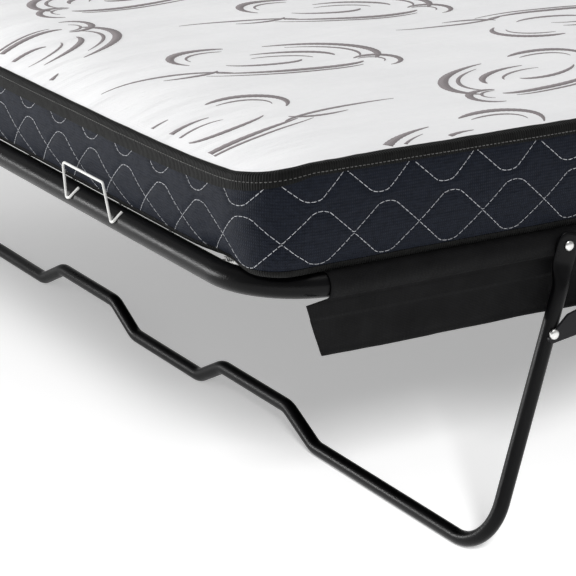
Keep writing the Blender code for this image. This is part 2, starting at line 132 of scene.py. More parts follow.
# %% Camera
LENS = 153.95
CAMERA_FROM_CORNER = (-1.0616, -1.8300, 0.7171)
CAMERA_DOWN = 18.53
CAMERA_TURNED = 30.76
camera_data = bpy.data.cameras.new("camera")
camera_data.lens = LENS
camera_data.sensor_width = 36
camera_data.clip_start = 0.05
camera_data.clip_end = 50
camera = bpy.data.objects.new("camera", camera_data)
bpy.context.scene.collection.objects.link(camera)
near_corner = Vector((-rail_x, -rail_y, rail_z))
camera.location = near_corner + Vector(CAMERA_FROM_CORNER)
camera.rotation_euler = (radians(90 - CAMERA_DOWN), 0, radians(-CAMERA_TURNED))
bpy.context.scene.camera = camera
print("camera", [round(x, 3) for x in camera.location])

# %% [markdown]
# ## Floor and light
# Three lamps share the work, and each lights only what it is meant for. The key lamp, behind and above the
# camera, lights the floor and throws the bed's shadow back under it. The top lamp hangs over the bed. The
# end lamp stands low off the foot end, so it reaches that face of the mattress but not the side. A white
# sky and a faintly glowing floor fill the shadow to a flat grey. The plain view transform keeps white cloth
# white.

# %% Floor and light
SKY = 0.42
FLOOR_GLOW = 0.37
FLOOR_HALF = 9


def area_light(name, place, target, size, power, color=(1, 1, 1)):
    """A soft rectangular light that faces its target."""
    data = bpy.data.lights.new(name, "AREA")
    data.shape = "RECTANGLE"
    data.size, data.size_y = size
    data.energy = power
    data.color = color
    light = bpy.data.objects.new(name, data)
    bpy.context.scene.collection.objects.link(light)
    light.location = place
    light.rotation_euler = (Vector(target) - Vector(place)).to_track_quat("-Z", "Y").to_euler()
    return light


floor_mesh = bpy.data.meshes.new("floor")
corners = [(-1, -1), (1, -1), (1, 1), (-1, 1)]
floor_mesh.from_pydata([(FLOOR_HALF * x, FLOOR_HALF * y, 0) for x, y in corners], [], [(0, 1, 2, 3)])
floor = bpy.data.objects.new("floor", floor_mesh)
bpy.context.scene.collection.objects.link(floor)
floor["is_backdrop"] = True
floor_finish = bpy.data.materials.new("pale_floor")
floor_finish.use_nodes = True
floor_shader = floor_finish.node_tree.nodes["Principled BSDF"]
floor_shader.inputs["Base Color"].default_value = (0.93, 0.93, 0.93, 1)
floor_shader.inputs["Roughness"].default_value = 0.9
floor_shader.inputs["Specular IOR Level"].default_value = 0.0
floor_shader.inputs["Emission Color"].default_value = (1, 1, 1, 1)
floor_shader.inputs["Emission Strength"].default_value = FLOOR_GLOW
floor_mesh.materials.append(floor_finish)
world = bpy.data.worlds.new("studio")
world.use_nodes = True
sky = world.node_tree.nodes["Background"]
sky.inputs["Color"].default_value = (1, 1, 1, 1)
sky.inputs["Strength"].default_value = SKY
bpy.context.scene.world = world
bpy.context.scene.view_settings.view_transform = "Standard"
key_lamp = area_light("key_lamp", (-2.75, -4.95, 3.3), (-0.6, -0.4, 0.0), (1.2, 1.2), 360)
top_lamp = area_light("top_lamp", (-0.9, -0.9, 5.0), (-0.6, -0.3, 0.4), (3.0, 3.0), 116)
end_lamp = area_light("end_lamp", (-3.4, 2.0, 0.60), (-0.95, 0.0, 0.38), (1.8, 0.5), 80)


def light_only(lamp, state):
    """INCLUDE makes the lamp light only the floor, and EXCLUDE all but the floor."""
    group = bpy.data.collections.new(f"{lamp.name} and floor")
    group.objects.link(floor)
    group.collection_objects[0].light_linking.link_state = state
    lamp.light_linking.receiver_collection = group


light_only(key_lamp, "INCLUDE")
light_only(top_lamp, "EXCLUDE")
light_only(end_lamp, "EXCLUDE")

# %% [markdown]
# ## Making a material
# Every finish here is a small tree of nodes on a Principled shader. Short helpers do the wiring: they add a
# node, do arithmetic, colour the shader between two colours, make cloudy noise and stripes, and turn a
# height into a bump. Even values, such as sheen, are set on the shader itself.

# %% Material helpers
def new_material(name, roughness, **sockets):
    """A material and its Principled shader, whose sockets take plain values by name."""
    made = bpy.data.materials.new(name)
    made.use_nodes = True
    shader = made.node_tree.nodes["Principled BSDF"]
    shader.inputs["Roughness"].default_value = roughness
    for socket, value in sockets.items():
        shader.inputs[socket.replace("_", " ")].default_value = value
    return made, shader


def node(material, kind, **values):
    """Add a node. Values are its properties, or its inputs where no property has that name."""
    made = material.node_tree.nodes.new(kind)
    for key, value in values.items():
        if hasattr(made, key):
            setattr(made, key, value)
        else:
            wire(material, value, made.inputs[key.replace("_", " ")])
    return made


def wire(material, source, socket):
    """Link an output to a socket, or set the socket to a plain value."""
    if isinstance(source, bpy.types.NodeSocket):
        material.node_tree.links.new(source, socket)
    else:
        socket.default_value = source


def maths(material, operation, *values):
    """The result of arithmetic on sockets or plain numbers."""
    made = material.node_tree.nodes.new("ShaderNodeMath")
    made.operation = operation
    for k, value in enumerate(values):
        wire(material, value, made.inputs[k])
    return made.outputs[0]


def blend_colours(material, share, low, high):
    """A colour between low and high."""
    made = material.node_tree.nodes.new("ShaderNodeMix")
    made.data_type = "RGBA"
    wire(material, share, made.inputs["Factor"])
    for value, name in ((low, "A"), (high, "B")):
        socket = [s for s in made.inputs if s.name == name and s.type == "RGBA"][0]
        wire(material, (*value, 1) if isinstance(value, tuple) else value, socket)
    return [s for s in made.outputs if s.type == "RGBA"][0]


def tint(material, shader, share, low, high):
    """Colour the shader from low to high by a share from 0 to 1."""
    wire(material, blend_colours(material, share, low, high), shader.inputs["Base Color"])


def cloudy(material, scale, detail=3.0, stretch=(1, 1, 1), low=0.35, high=0.65):
    """Soft noise in object space, spread out to run from 0 to 1."""
    place = node(material, "ShaderNodeTexCoord").outputs["Object"]
    mapped = node(material, "ShaderNodeMapping", Vector=place, Scale=stretch).outputs[0]
    grain = node(material, "ShaderNodeTexNoise", Vector=mapped, Scale=scale, Detail=detail).outputs["Fac"]
    spread = node(material, "ShaderNodeMapRange", Value=grain, From_Min=low, From_Max=high)
    return spread.outputs[0]


def raise_bump(material, shader, height, distance, strength=1.0):
    """Bump the shader by a height socket, on top of any bump it already has."""
    made = node(material, "ShaderNodeBump", Height=height, Distance=distance, Strength=strength)
    earlier = shader.inputs["Normal"].links
    if earlier:
        material.node_tree.links.new(earlier[0].from_socket, made.inputs["Normal"])
    material.node_tree.links.new(made.outputs[0], shader.inputs["Normal"])


def attribute(material, name):
    """A number that the mesh carries at each point, such as the run along an edge."""
    return node(material, "ShaderNodeAttribute", attribute_name=name).outputs["Fac"]


def stripes(material, value, pitch):
    """A smooth wave from 0 to 1 with one crest in each pitch of the value."""
    turned = maths(material, "SINE", maths(material, "MULTIPLY", value, 2 * pi / pitch))
    return maths(material, "MULTIPLY_ADD", turned, 0.5, 0.5)


def crossed(material, first, first_pitch, second, second_pitch):
    """A grid of small bumps, where two rows of stripes cross."""
    rows = stripes(material, first, first_pitch)
    return maths(material, "MULTIPLY", rows, stripes(material, second, second_pitch))


print("material helpers ready")

# %% [markdown]
# ## Steel finishes
# The tubes have a semi-gloss black powder coat: nearly black, with a very fine orange-peel bump and a
# little dust that dulls it in patches. The plates have the same coat, with a lighter coat on their bevelled
# edges as a painted highlight. Rivets, springs and casters are bright zinc, whose grain is soft cloudy
# patches. The retaining wires have a smooth white coat.

# %% Steel finishes
def powder_coat(name, color, roughness):
    """A dusty painted steel of one colour."""
    made, shader = new_material(name, roughness, Specular_IOR_Level=0.13)
    patches = cloudy(made, 9, detail=4)
    dusty = tuple(c * 1.8 + 0.001 for c in color)
    tint(made, shader, patches, color, dusty)
    dull = maths(made, "MULTIPLY_ADD", patches, 0.14, roughness - 0.05)
    wire(made, dull, shader.inputs["Roughness"])
    raise_bump(made, shader, cloudy(made, 900, detail=1), 0.00012, 0.5)
    return made


black_coat = powder_coat("black_powder_coat", (0.0012, 0.0012, 0.0015), 0.30)
plate_coat = powder_coat("black_plate_coat", (0.009, 0.009, 0.010), 0.36)
# A lighter coat for the bevelled plate edges: a painted highlight.
painted_highlight_edge = powder_coat("plate_edge_painted_highlight", (0.085, 0.085, 0.09), 0.30)

zinc, zinc_shader = new_material("bright_zinc", 0.30, Metallic=1.0)
zinc_patches = cloudy(zinc, 260, detail=5)
tint(zinc, zinc_shader, zinc_patches, (0.62, 0.62, 0.61), (0.82, 0.82, 0.80))
wire(zinc, maths(zinc, "MULTIPLY_ADD", zinc_patches, 0.18, 0.24), zinc_shader.inputs["Roughness"])
raise_bump(zinc, zinc_shader, zinc_patches, 0.0001, 0.3)

wire_coat, wire_shader = new_material("white_wire_coat", 0.33, Specular_IOR_Level=0.5)
wire_shade = cloudy(wire_coat, 60, detail=3)
tint(wire_coat, wire_shader, wire_shade, (0.70, 0.70, 0.68), (0.84, 0.84, 0.82))
raise_bump(wire_coat, wire_shader, cloudy(wire_coat, 700, detail=1), 0.0001, 0.4)
print("steel finishes:", black_coat.name, plate_coat.name, zinc.name, wire_coat.name)

# %% [markdown]
# ## Cloth finishes
# The white top is a fine stretch knit: rows of small loops, with faint patches where the light catches
# them. The border is a dark blue mesh with narrow upright ribs and a cell pattern of light stitching, whose
# channels press the cloth in. The bindings are ribbed black tape, and the deck cloth is a plain tight
# weave. Each weave is a product of two waves at the thread's real pitch, so it keeps its scale from every
# side.

# %% White knit, print and thread
knit, knit_shader = new_material("white_knit", 0.92, Sheen_Weight=0.18, Sheen_Roughness=0.5)
knit_place = node(knit, "ShaderNodeSeparateXYZ", Vector=node(knit, "ShaderNodeTexCoord").outputs["Object"])
KNIT_PITCH = 0.0024
loops = crossed(knit, knit_place.outputs["X"], KNIT_PITCH, knit_place.outputs["Y"], KNIT_PITCH)
knit_cloud = cloudy(knit, 7, detail=4, stretch=(1, 2.4, 1))
knit_fuzz = cloudy(knit, 420, detail=2)
tint(
    knit,
    knit_shader,
    maths(knit, "MULTIPLY_ADD", loops, 0.35, maths(knit, "MULTIPLY", knit_cloud, 0.5)),
    (0.86, 0.86, 0.87),
    (0.93, 0.93, 0.935),
)
raise_bump(knit, knit_shader, loops, 0.0004, 0.55)
raise_bump(knit, knit_shader, knit_fuzz, 0.0004, 0.35)
knit_folds = cloudy(knit, 9, detail=5, stretch=(0.5, 2.6, 1), low=0.2, high=0.8)
raise_bump(knit, knit_shader, knit_folds, 0.008, 0.7)

print_ink, ink_shader = new_material("grey_knit_pattern", 0.9, Sheen_Weight=0.1)
ink_place = node(
    print_ink, "ShaderNodeSeparateXYZ", Vector=node(print_ink, "ShaderNodeTexCoord").outputs["Object"]
)
ink_rows = crossed(print_ink, ink_place.outputs["X"], KNIT_PITCH, ink_place.outputs["Y"], KNIT_PITCH)
tint(print_ink, ink_shader, ink_rows, (0.20, 0.175, 0.18), (0.36, 0.33, 0.335))
raise_bump(print_ink, ink_shader, ink_rows, 0.0004, 0.6)

thread, thread_shader = new_material("light_grey_thread", 0.7, Sheen_Weight=0.2)
tint(thread, thread_shader, cloudy(thread, 500), (0.36, 0.37, 0.40), (0.62, 0.63, 0.66))
dark_thread, dark_thread_shader = new_material("dark_grey_thread", 0.75, Sheen_Weight=0.2)
tint(dark_thread, dark_thread_shader, cloudy(dark_thread, 500), (0.05, 0.05, 0.048), (0.12, 0.12, 0.115))
print("knit, pattern and threads ready")

# %% [markdown]
# ## The border's cell pattern
# Two rows of stitching wander up and down and cross, so they close cells like a chain. A point's place
# along the chain is counted in cells, and its height is measured from the chain's middle in units of the
# crest's height. One formula gives the curve in both the shader, which presses the channel in, and the mesh
# code, which sews the thread.

# %% Border mesh, tape and deck cloth
CREST_FROM = 0.85
CREST_SOFT = 0.15
CHAIN_GAIN = 1.25
UPPER_CHAIN = 2.35
UPPER_SHIFT = 0.10


def chain_height(cell):
    """How high the stitching stands at a place counted in cells: 0 where the rows cross, 1 at a crest."""
    climb = CHAIN_GAIN * (1 - abs(2 * (cell % 1.0) - 1))
    over = max(0.0, climb - CREST_FROM)
    return min(climb, CREST_FROM) + CREST_SOFT * (1 - exp(-over / CREST_SOFT))


def chain_distance(material, cell, tier):
    """The same curve as nodes: how far a point's height is from the stitching, in crest heights."""
    part = maths(material, "FRACT", cell)
    climb = maths(material, "ABSOLUTE", maths(material, "MULTIPLY_ADD", part, 2.0, -1.0))
    climb = maths(material, "MULTIPLY_ADD", climb, -CHAIN_GAIN, CHAIN_GAIN)
    over = maths(material, "MAXIMUM", maths(material, "SUBTRACT", climb, CREST_FROM), 0.0)
    rest = maths(material, "EXPONENT", maths(material, "MULTIPLY", over, -1 / CREST_SOFT))
    high = maths(material, "MINIMUM", climb, CREST_FROM)
    high = maths(material, "ADD", high, maths(material, "MULTIPLY_ADD", rest, -CREST_SOFT, CREST_SOFT))
    return maths(material, "ABSOLUTE", maths(material, "SUBTRACT", maths(material, "ABSOLUTE", tier), high))


border_mesh, border_shader = new_material(
    "border_mesh", 0.62, Sheen_Weight=0.02, Sheen_Roughness=0.4, Specular_IOR_Level=0.12
)
border_shader.inputs["Sheen Tint"].default_value = (0.55, 0.65, 0.9, 1)
cell_place = attribute(border_mesh, "cell")
cell_tier = attribute(border_mesh, "tier")
lower_row = chain_distance(border_mesh, cell_place, cell_tier)
upper_row = chain_distance(
    border_mesh,
    maths(border_mesh, "ADD", cell_place, UPPER_SHIFT),
    maths(border_mesh, "SUBTRACT", cell_tier, UPPER_CHAIN),
)
from_seam = maths(border_mesh, "MINIMUM", lower_row, upper_row)
channel = maths(
    border_mesh,
    "EXPONENT",
    maths(border_mesh, "MULTIPLY", maths(border_mesh, "POWER", from_seam, 2.0), -16.0),
)
run, rise = attribute(border_mesh, "run"), attribute(border_mesh, "rise")
ribs = crossed(border_mesh, run, 0.0023, rise, 0.0030)
border_tone = maths(
    border_mesh,
    "MULTIPLY_ADD",
    ribs,
    0.55,
    maths(border_mesh, "MULTIPLY", cloudy(border_mesh, 240, detail=3), 0.45),
)
tint(border_mesh, border_shader, border_tone, (0.0036, 0.0052, 0.0100), (0.0105, 0.0140, 0.0240))
raise_bump(border_mesh, border_shader, maths(border_mesh, "SUBTRACT", 1.0, channel), 0.0016, 0.9)
raise_bump(border_mesh, border_shader, ribs, 0.0005, 0.8)
raise_bump(border_mesh, border_shader, cloudy(border_mesh, 55, detail=4, stretch=(1, 1, 2.5)), 0.0012, 0.5)

tape, tape_shader = new_material(
    "ribbed_black_tape", 0.60, Sheen_Weight=0.02, Sheen_Roughness=0.4, Specular_IOR_Level=0.10
)
tape_run = attribute(tape, "run")
tape_ribs = stripes(tape, tape_run, 0.0026)
tape_cloud = cloudy(tape, 120, detail=3)
tint(
    tape,
    tape_shader,
    maths(tape, "MULTIPLY_ADD", tape_ribs, 0.6, maths(tape, "MULTIPLY", tape_cloud, 0.4)),
    (0.0020, 0.0020, 0.0020),
    (0.0090, 0.0094, 0.0090),
)
raise_bump(tape, tape_shader, tape_ribs, 0.0007, 0.9)
raise_bump(tape, tape_shader, tape_cloud, 0.0006, 0.5)

deck_weave, deck_shader = new_material(
    "deck_weave", 0.58, Sheen_Weight=0.02, Sheen_Roughness=0.4, Specular_IOR_Level=0.10
)
weave_run, weave_rise = attribute(deck_weave, "run"), attribute(deck_weave, "rise")
weave = crossed(deck_weave, weave_run, 0.0016, weave_rise, 0.0016)
weave_cloud = cloudy(deck_weave, 35, detail=4)
weave_tone = maths(deck_weave, "MULTIPLY_ADD", weave, 0.5, maths(deck_weave, "MULTIPLY", weave_cloud, 0.5))
tint(deck_weave, deck_shader, weave_tone, (0.0025, 0.0025, 0.0028), (0.0080, 0.0080, 0.0085))
raise_bump(deck_weave, deck_shader, weave, 0.0004, 0.6)
raise_bump(deck_weave, deck_shader, cloudy(deck_weave, 28, detail=5, stretch=(1, 1, 0.5)), 0.004, 0.4)

base_cloth, base_shader = new_material("mattress_underside", 0.9)
base_grain = cloudy(base_cloth, 300, detail=3)
tint(base_cloth, base_shader, base_grain, (0.008, 0.008, 0.009), (0.024, 0.024, 0.027))
raise_bump(base_cloth, base_shader, base_grain, 0.0006, 0.7)

rubber, rubber_shader = new_material("caster_tread", 0.65)
rubber_cloud = cloudy(rubber, 90, detail=4)
tint(rubber, rubber_shader, rubber_cloud, (0.028, 0.028, 0.029), (0.06, 0.06, 0.06))
wire(rubber, maths(rubber, "MULTIPLY_ADD", rubber_cloud, 0.2, 0.55), rubber_shader.inputs["Roughness"])
raise_bump(rubber, rubber_shader, cloudy(rubber, 600, detail=2), 0.0003, 0.5)
print("cloth, tape and rubber ready:", len(bpy.data.materials), "materials")

# %% [markdown]
# ## Making a piece
# A piece is made from lists of points and faces, shaded smooth with sharp edges kept. A frame piece then
# says which body it rides on and which plain frame solids it stands for.

# %% Piece helpers
def new_piece(name, points, faces, finishes, face_finish=None, values=None, sharp=40):
    """A mesh object, with a finish picked for each face and named numbers kept at each point."""
    mesh = bpy.data.meshes.new(name)
    mesh.from_pydata([tuple(p) for p in points], [], [tuple(f) for f in faces])
    for finish in finishes if isinstance(finishes, (list, tuple)) else [finishes]:
        mesh.materials.append(finish)
    if face_finish is not None:
        mesh.polygons.foreach_set("material_index", np.array(face_finish, np.int32))
    shell = bmesh.new()
    shell.from_mesh(mesh)
    bmesh.ops.recalc_face_normals(shell, faces=shell.faces)
    shell.to_mesh(mesh)
    shell.free()
    mesh.shade_smooth()
    if sharp:
        mesh.set_sharp_from_angle(angle=radians(sharp))
    for key, numbers in (values or {}).items():
        mesh.attributes.new(key, "FLOAT", "POINT").data.foreach_set("value", np.array(numbers, np.float32))
    mesh.update()
    made = bpy.data.objects.new(name, mesh)
    bpy.context.scene.collection.objects.link(made)
    return made


def settle(piece, body, slot, *replaced):
    """The piece rides on its body and stands for frame solids. The slot is not used."""
    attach(piece, body)
    if replaced:
        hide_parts(*replaced)
    return piece


class Shape:
    """Points and faces that grow as tubes, discs and strips are added."""

    def __init__(self):
        self.points = []
        self.faces = []

    def add(self, points, faces):
        start = len(self.points)
        self.points += [Vector(p) for p in points]
        self.faces += [tuple(start + k for k in face) for face in faces]

    def rings(self, rings, close_ends=True):
        """Join rings of equal count, one after another."""
        count = len(rings[0])
        faces = []
        for k in range(len(rings) - 1):
            for j in range(count):
                following = (j + 1) % count
                low = k * count
                faces.append((low + j, low + following, low + count + following, low + count + j))
        if close_ends:
            last = (len(rings) - 1) * count
            faces.append(tuple(range(count))[::-1])
            faces.append(tuple(range(last, last + count)))
        self.add([p for ring in rings for p in ring], faces)

    def piece(self, name, finishes, **options):
        return new_piece(name, self.points, self.faces, finishes, **options)


def filleted(points, radii, step=radians(6)):
    """The points of a path with each inner corner rounded to its radius."""
    points = [Vector(p) for p in points]
    path = [points[0]]
    for before, corner, after, radius in zip(points, points[1:], points[2:], radii):
        arrive, leave = (corner - before).normalized(), (after - corner).normalized()
        turn = arrive.angle(leave)
        if turn < 1e-4:
            path.append(corner)
            continue
        centre = corner + (leave - arrive).normalized() * (radius / cos(turn / 2))
        start = corner - arrive * (radius * tan(turn / 2)) - centre
        axis = arrive.cross(leave)
        count = max(2, round(turn / step))
        path += [centre + Matrix.Rotation(turn * k / count, 3, axis) @ start for k in range(count + 1)]
    path.append(points[-1])
    return path


def framed(path, first_normal):
    """For each point of a path: the point, the way ahead, an untwisted normal, and the third axis."""
    normal = Vector(first_normal)
    stations = []
    for k, point in enumerate(path):
        ahead = (path[min(k + 1, len(path) - 1)] - path[max(k - 1, 0)]).normalized()
        normal = (normal - ahead * normal.dot(ahead)).normalized()
        stations.append((point, ahead, normal, ahead.cross(normal)))
    return stations


def tube_rings(path, radius, sides=20, first_normal=(0, 0, 1)):
    """Rings of a round bar along a path. The radius is one number, or one for each point."""
    path = [Vector(p) for p in path]
    radii = radius if isinstance(radius, (list, tuple)) else [radius] * len(path)
    turns = [2 * pi * j / sides for j in range(sides)]
    rings = []
    for (point, _, normal, across), size in zip(framed(path, first_normal), radii):
        rings.append([point + (normal * cos(turn) + across * sin(turn)) * size for turn in turns])
    return rings


def lathe_rings(profile, centre, axis, sides=28):
    """Rings of a turned shape. The profile's pairs are radius and distance along the axis."""
    axis = Vector(axis).normalized()
    across = axis.orthogonal().normalized()
    third = axis.cross(across)
    turns = [2 * pi * j / sides for j in range(sides)]
    rings = []
    for radius, along in profile:
        middle_point = Vector(centre) + axis * along
        rings.append([middle_point + (across * cos(t) + third * sin(t)) * radius for t in turns])
    return rings


print("piece helpers ready")

# %% [markdown]
# ## The mattress: one sewn box
# The real mattress is a foam slab in a sewn cover: a white top panel and a dark base panel, joined by an
# upright border, with tape sewn over both edges. It could be sculpted, but a cover is built from flat
# panels, so here both panels are square grids pressed into a rounded outline, and the border is rows of
# points between their edges. The border is lower at the two ends than at the sides, and the change happens
# round the corners.

# %% Mattress sizes and outline
mattress_x = rail_x + 0.004
mattress_y = rail_y + 0.007
base_z = rail_z + 0.0150
SIDE_TOP = rail_z + 0.1175
END_DROP = 0.0200
CORNER_REACH = 0.039
DROP_REACH = 0.075
TOP_CORNER = 0.060
BASE_CORNER = 0.036
CELLS_LONG = 90
CELLS_WIDE = 62
BORDER_ROWS = np.array([0, 0.03, 0.08, 0.16, 0.25, 0.34, 0.43, 0.52, 0.61, 0.70, 0.79, 0.88, 0.95, 1.0])


def plan_grid(doubling, half_x, half_y, corner):
    """A grid of x and a grid of y that fill a rectangle with rounded corners."""
    u = np.linspace(-half_x, half_x, CELLS_LONG * doubling + 1)[:, None]
    v = np.linspace(-half_y, half_y, CELLS_WIDE * doubling + 1)[None, :]
    a = np.clip((abs(u) - half_x + corner) / corner, 0, 1)
    b = np.clip((abs(v) - half_y + corner) / corner, 0, 1)
    x = np.where(a > 0, np.sign(u) * (half_x - corner + corner * a * np.sqrt(1 - b * b / 2)), u + 0 * v)
    y = np.where(b > 0, np.sign(v) * (half_y - corner + corner * b * np.sqrt(1 - a * a / 2)), v + 0 * u)
    return x, y


def around(grid):
    """A grid's edge values in order: from the middle of the near side to the foot end, then all round."""
    half = (grid.shape[0] - 1) // 2
    sides = [grid[half:0:-1, 0], grid[0, :-1], grid[:-1, -1], grid[-1, :0:-1], grid[:half:-1, 0]]
    return np.concatenate(sides)


def edge_facts(doubling):
    """For each edge point: its run from its half's first corner, its outward way, and its endness."""
    x, y = (
        around(grid) for grid in plan_grid(doubling, mattress_x, mattress_y, (TOP_CORNER + BASE_CORNER) / 2)
    )
    step = np.hypot(np.roll(x, -1) - x, np.roll(y, -1) - y)
    count = len(x) // 2
    walked = np.concatenate([[0], np.cumsum(step[:count])])
    corner = np.argmin(np.hypot(x[:count] + mattress_x, y[:count] + mattress_y))
    half_run = walked[corner] - walked
    run = np.concatenate([half_run[:-1], half_run[:-1]])
    far_corner = half_run[0] + half_run[-1]
    near = 1 - np.exp(-np.clip(CORNER_REACH - run, 0, None) / DROP_REACH)
    far = 1 - np.exp(-np.clip(run - far_corner + CORNER_REACH, 0, None) / DROP_REACH)
    along = np.stack([np.roll(x, -1) - np.roll(x, 1), np.roll(y, -1) - np.roll(y, 1)], 1)
    outward = np.stack([along[:, 1], -along[:, 0]], 1) / np.hypot(*along.T)[:, None]
    outward *= np.sign((outward * np.stack([x, y], 1)).sum(1))[:, None]
    return run, outward, near * far, half_run


edge_run, edge_outward, edge_endness, half_run = edge_facts(2)
print("edge points:", len(edge_run), "half an edge:", round(half_run[0] - half_run[-1], 3), "m")

# %% [markdown]
# ## The cover before it is filled
# The top panel is stretched over its edge like a drum skin: each point settles at the mean height of its
# neighbours, drawn up towards the foam's own height. That gives the soft rise inside every edge, steeper at
# the low ends.

# %% The cover's plain shape
CROWN_Z = rail_z + 0.1165
CROWN_PULL = 0.018
BORDER_BULGE = 0.0030
BASE_TUCK = 0.0050
BASE_PINCH = 0.0080


def settled_heights(edge_grid, rounds):
    """Heights of the top panel, from its edge's heights and the foam's pull."""
    heights = np.where(np.isnan(edge_grid), CROWN_Z, edge_grid)
    free = np.isnan(edge_grid)[1:-1, 1:-1]
    for _ in range(rounds):
        mean = (heights[2:, 1:-1] + heights[:-2, 1:-1] + heights[1:-1, 2:] + heights[1:-1, :-2]) / 4
        mean = (mean + CROWN_PULL * CROWN_Z) / (1 + CROWN_PULL)
        heights[1:-1, 1:-1] = np.where(free, mean, heights[1:-1, 1:-1])
    return heights


def cover_shape(doubling):
    """The top grid, the border's rows (edge points by rows) and the base grid, as arrays of points."""
    run, outward, endness, _ = edge_facts(doubling)
    top_x, top_y = plan_grid(doubling, mattress_x, mattress_y, TOP_CORNER)
    base_x, base_y = plan_grid(doubling, mattress_x - 0.003, mattress_y - 0.001, BASE_CORNER)
    edge_z = SIDE_TOP - END_DROP * endness
    edge_grid = np.full(top_x.shape, np.nan)
    number = around(np.arange(top_x.size).reshape(top_x.shape))
    edge_grid.flat[number] = edge_z
    top = np.stack([top_x, top_y, settled_heights(edge_grid, 220 * doubling)], 2)
    base = np.stack([base_x, base_y, np.full(base_x.shape, base_z)], 2)
    upper = np.stack([around(top_x), around(top_y)], 1)[:, None]
    lower = np.stack([around(base_x), around(base_y)], 1)[:, None]
    rows = BORDER_ROWS[None, :, None]
    tuck = BASE_TUCK * np.exp(-rows / 0.035)
    pinch = BASE_PINCH * np.exp(-(((run + 0.078) / 0.030) ** 2))[:, None, None] * (1 - rows) ** 2
    swell = BORDER_BULGE * 4 * rows * (1 - rows) - tuck * (rows < 1) - pinch
    flat = lower + (upper - lower) * rows + outward[:, None] * swell
    z = base_z + (edge_z[:, None] - base_z) * BORDER_ROWS[None, :]
    border = np.concatenate([flat, z[:, :, None]], 2)
    base.reshape(-1, 3)[number, :2] -= outward * (BASE_TUCK + pinch[:, 0])
    border[:, 0] = base.reshape(-1, 3)[number]
    return top, border, base


CELL_SIDE = 0.0715
CELL_END = 0.0735
FIRST_CROSSING = 0.012
CELLS_BEFORE = 40
CHAIN_MIDDLE = 0.049
CHAIN_REACH = 0.026
END_CHAIN_LOWER = 0.0080
END_CHAIN_SMALLER = 0.0024


def chain_cell(run):
    """Where an edge point is along the chain, in cells."""
    past = np.asarray(run) - FIRST_CROSSING
    return np.where(past > 0, past / CELL_SIDE, past / CELL_END) + CELLS_BEFORE


def chain_tier(endness, height):
    """A height over the rail's axis as a share of the crest's height."""
    return (height - CHAIN_MIDDLE + END_CHAIN_LOWER * endness) / (CHAIN_REACH - END_CHAIN_SMALLER * endness)


def border_values(count, border, column, ring):
    """For each point of the border: its run, its height, and its place in the chain pattern."""
    _, _, endness, run = edge_facts(1 if border.shape[0] == 2 * (CELLS_LONG + CELLS_WIDE) else 2)
    values = {key: np.zeros(count, np.float32) for key in ("run", "rise", "cell", "tier")}
    for row in range(border.shape[1]):
        height = border[ring, row, 2] - rail_z
        values["run"][column[ring, row]] = run
        values["rise"][column[ring, row]] = height
        values["cell"][column[ring, row]] = chain_cell(run)
        values["tier"][column[ring, row]] = chain_tier(endness[ring], height)
    return values


def cover_mesh(top, border, base, name, finishes, half=None):
    """A closed mesh from the three arrays: all of it, or one half with a flat face in the middle."""
    long, wide = top.shape[:2]
    middle_row = (long - 1) // 2
    first, last = {None: (0, long - 1), "foot": (0, middle_row), "head": (middle_row, long - 1)}[half]
    count = border.shape[0]
    edge = around(np.arange(long * wide).reshape(long, wide))
    rows = border.shape[1]
    inner = long * wide * 2 + np.arange(count * (rows - 2)).reshape(count, rows - 2)
    column = np.concatenate([edge[:, None] + long * wide, inner, edge[:, None]], 1)
    points = np.concatenate([top.reshape(-1, 3), base.reshape(-1, 3), border[:, 1:-1].reshape(-1, 3)])
    keep = {None: range(count), "foot": range(count // 2), "head": range(count // 2, count)}[half]
    faces, kinds = [], []
    for i in range(first, last):
        for j in range(wide - 1):
            a, b = i * wide + j, (i + 1) * wide + j
            faces += [
                (a, b, b + 1, a + 1),
                (a + long * wide, a + 1 + long * wide, b + 1 + long * wide, b + long * wide),
            ]
            kinds += [0, 2]
    for k in keep:
        following = (k + 1) % count
        for r in range(rows - 1):
            faces.append((column[k, r], column[following, r], column[following, r + 1], column[k, r + 1]))
            kinds.append(1)
    if half:
        start = keep[0]
        stop = (keep[-1] + 1) % count
        cut_top = [middle_row * wide + j for j in range(wide)]
        near, far = (start, stop) if edge[start] == cut_top[0] else (stop, start)
        cut_base = [c + long * wide for c in cut_top[::-1]]
        cut = cut_top + list(column[far, rows - 2:0:-1]) + cut_base + list(column[near, 1:rows - 1])
        faces.append(tuple(cut))
        kinds.append(2)
    used = np.unique(np.concatenate([np.array(face) for face in faces]))
    renumber = np.full(len(points), -1)
    renumber[used] = np.arange(len(used))
    faces = [tuple(int(renumber[v]) for v in face) for face in faces]
    ring = (np.arange(count // 2 + 1) + (keep[0] if half else 0)) % count
    values = border_values(len(points), border, column, ring)
    values = {key: numbers[used] for key, numbers in values.items()}
    return new_piece(name, points[used], faces, finishes, face_finish=kinds, values=values)


top_shape, border_shape, base_shape = cover_shape(2)
print("cover points:", top_shape.size // 3, "top,", border_shape.size // 3, "border")

# %% [markdown]
# ## Filling the cover
# A cloth simulation does what the foam does: it presses the cover out from inside while the sewn edges and
# the base hold still. It runs on a grid twice as coarse, for 20 steps, and no point may move more than a
# few millimetres. The moves are then spread to the fine grid through cubic midpoints, which is what one
# subdivision would do.

# %% Cloth simulation
PUFF_LIMIT = 0.0055


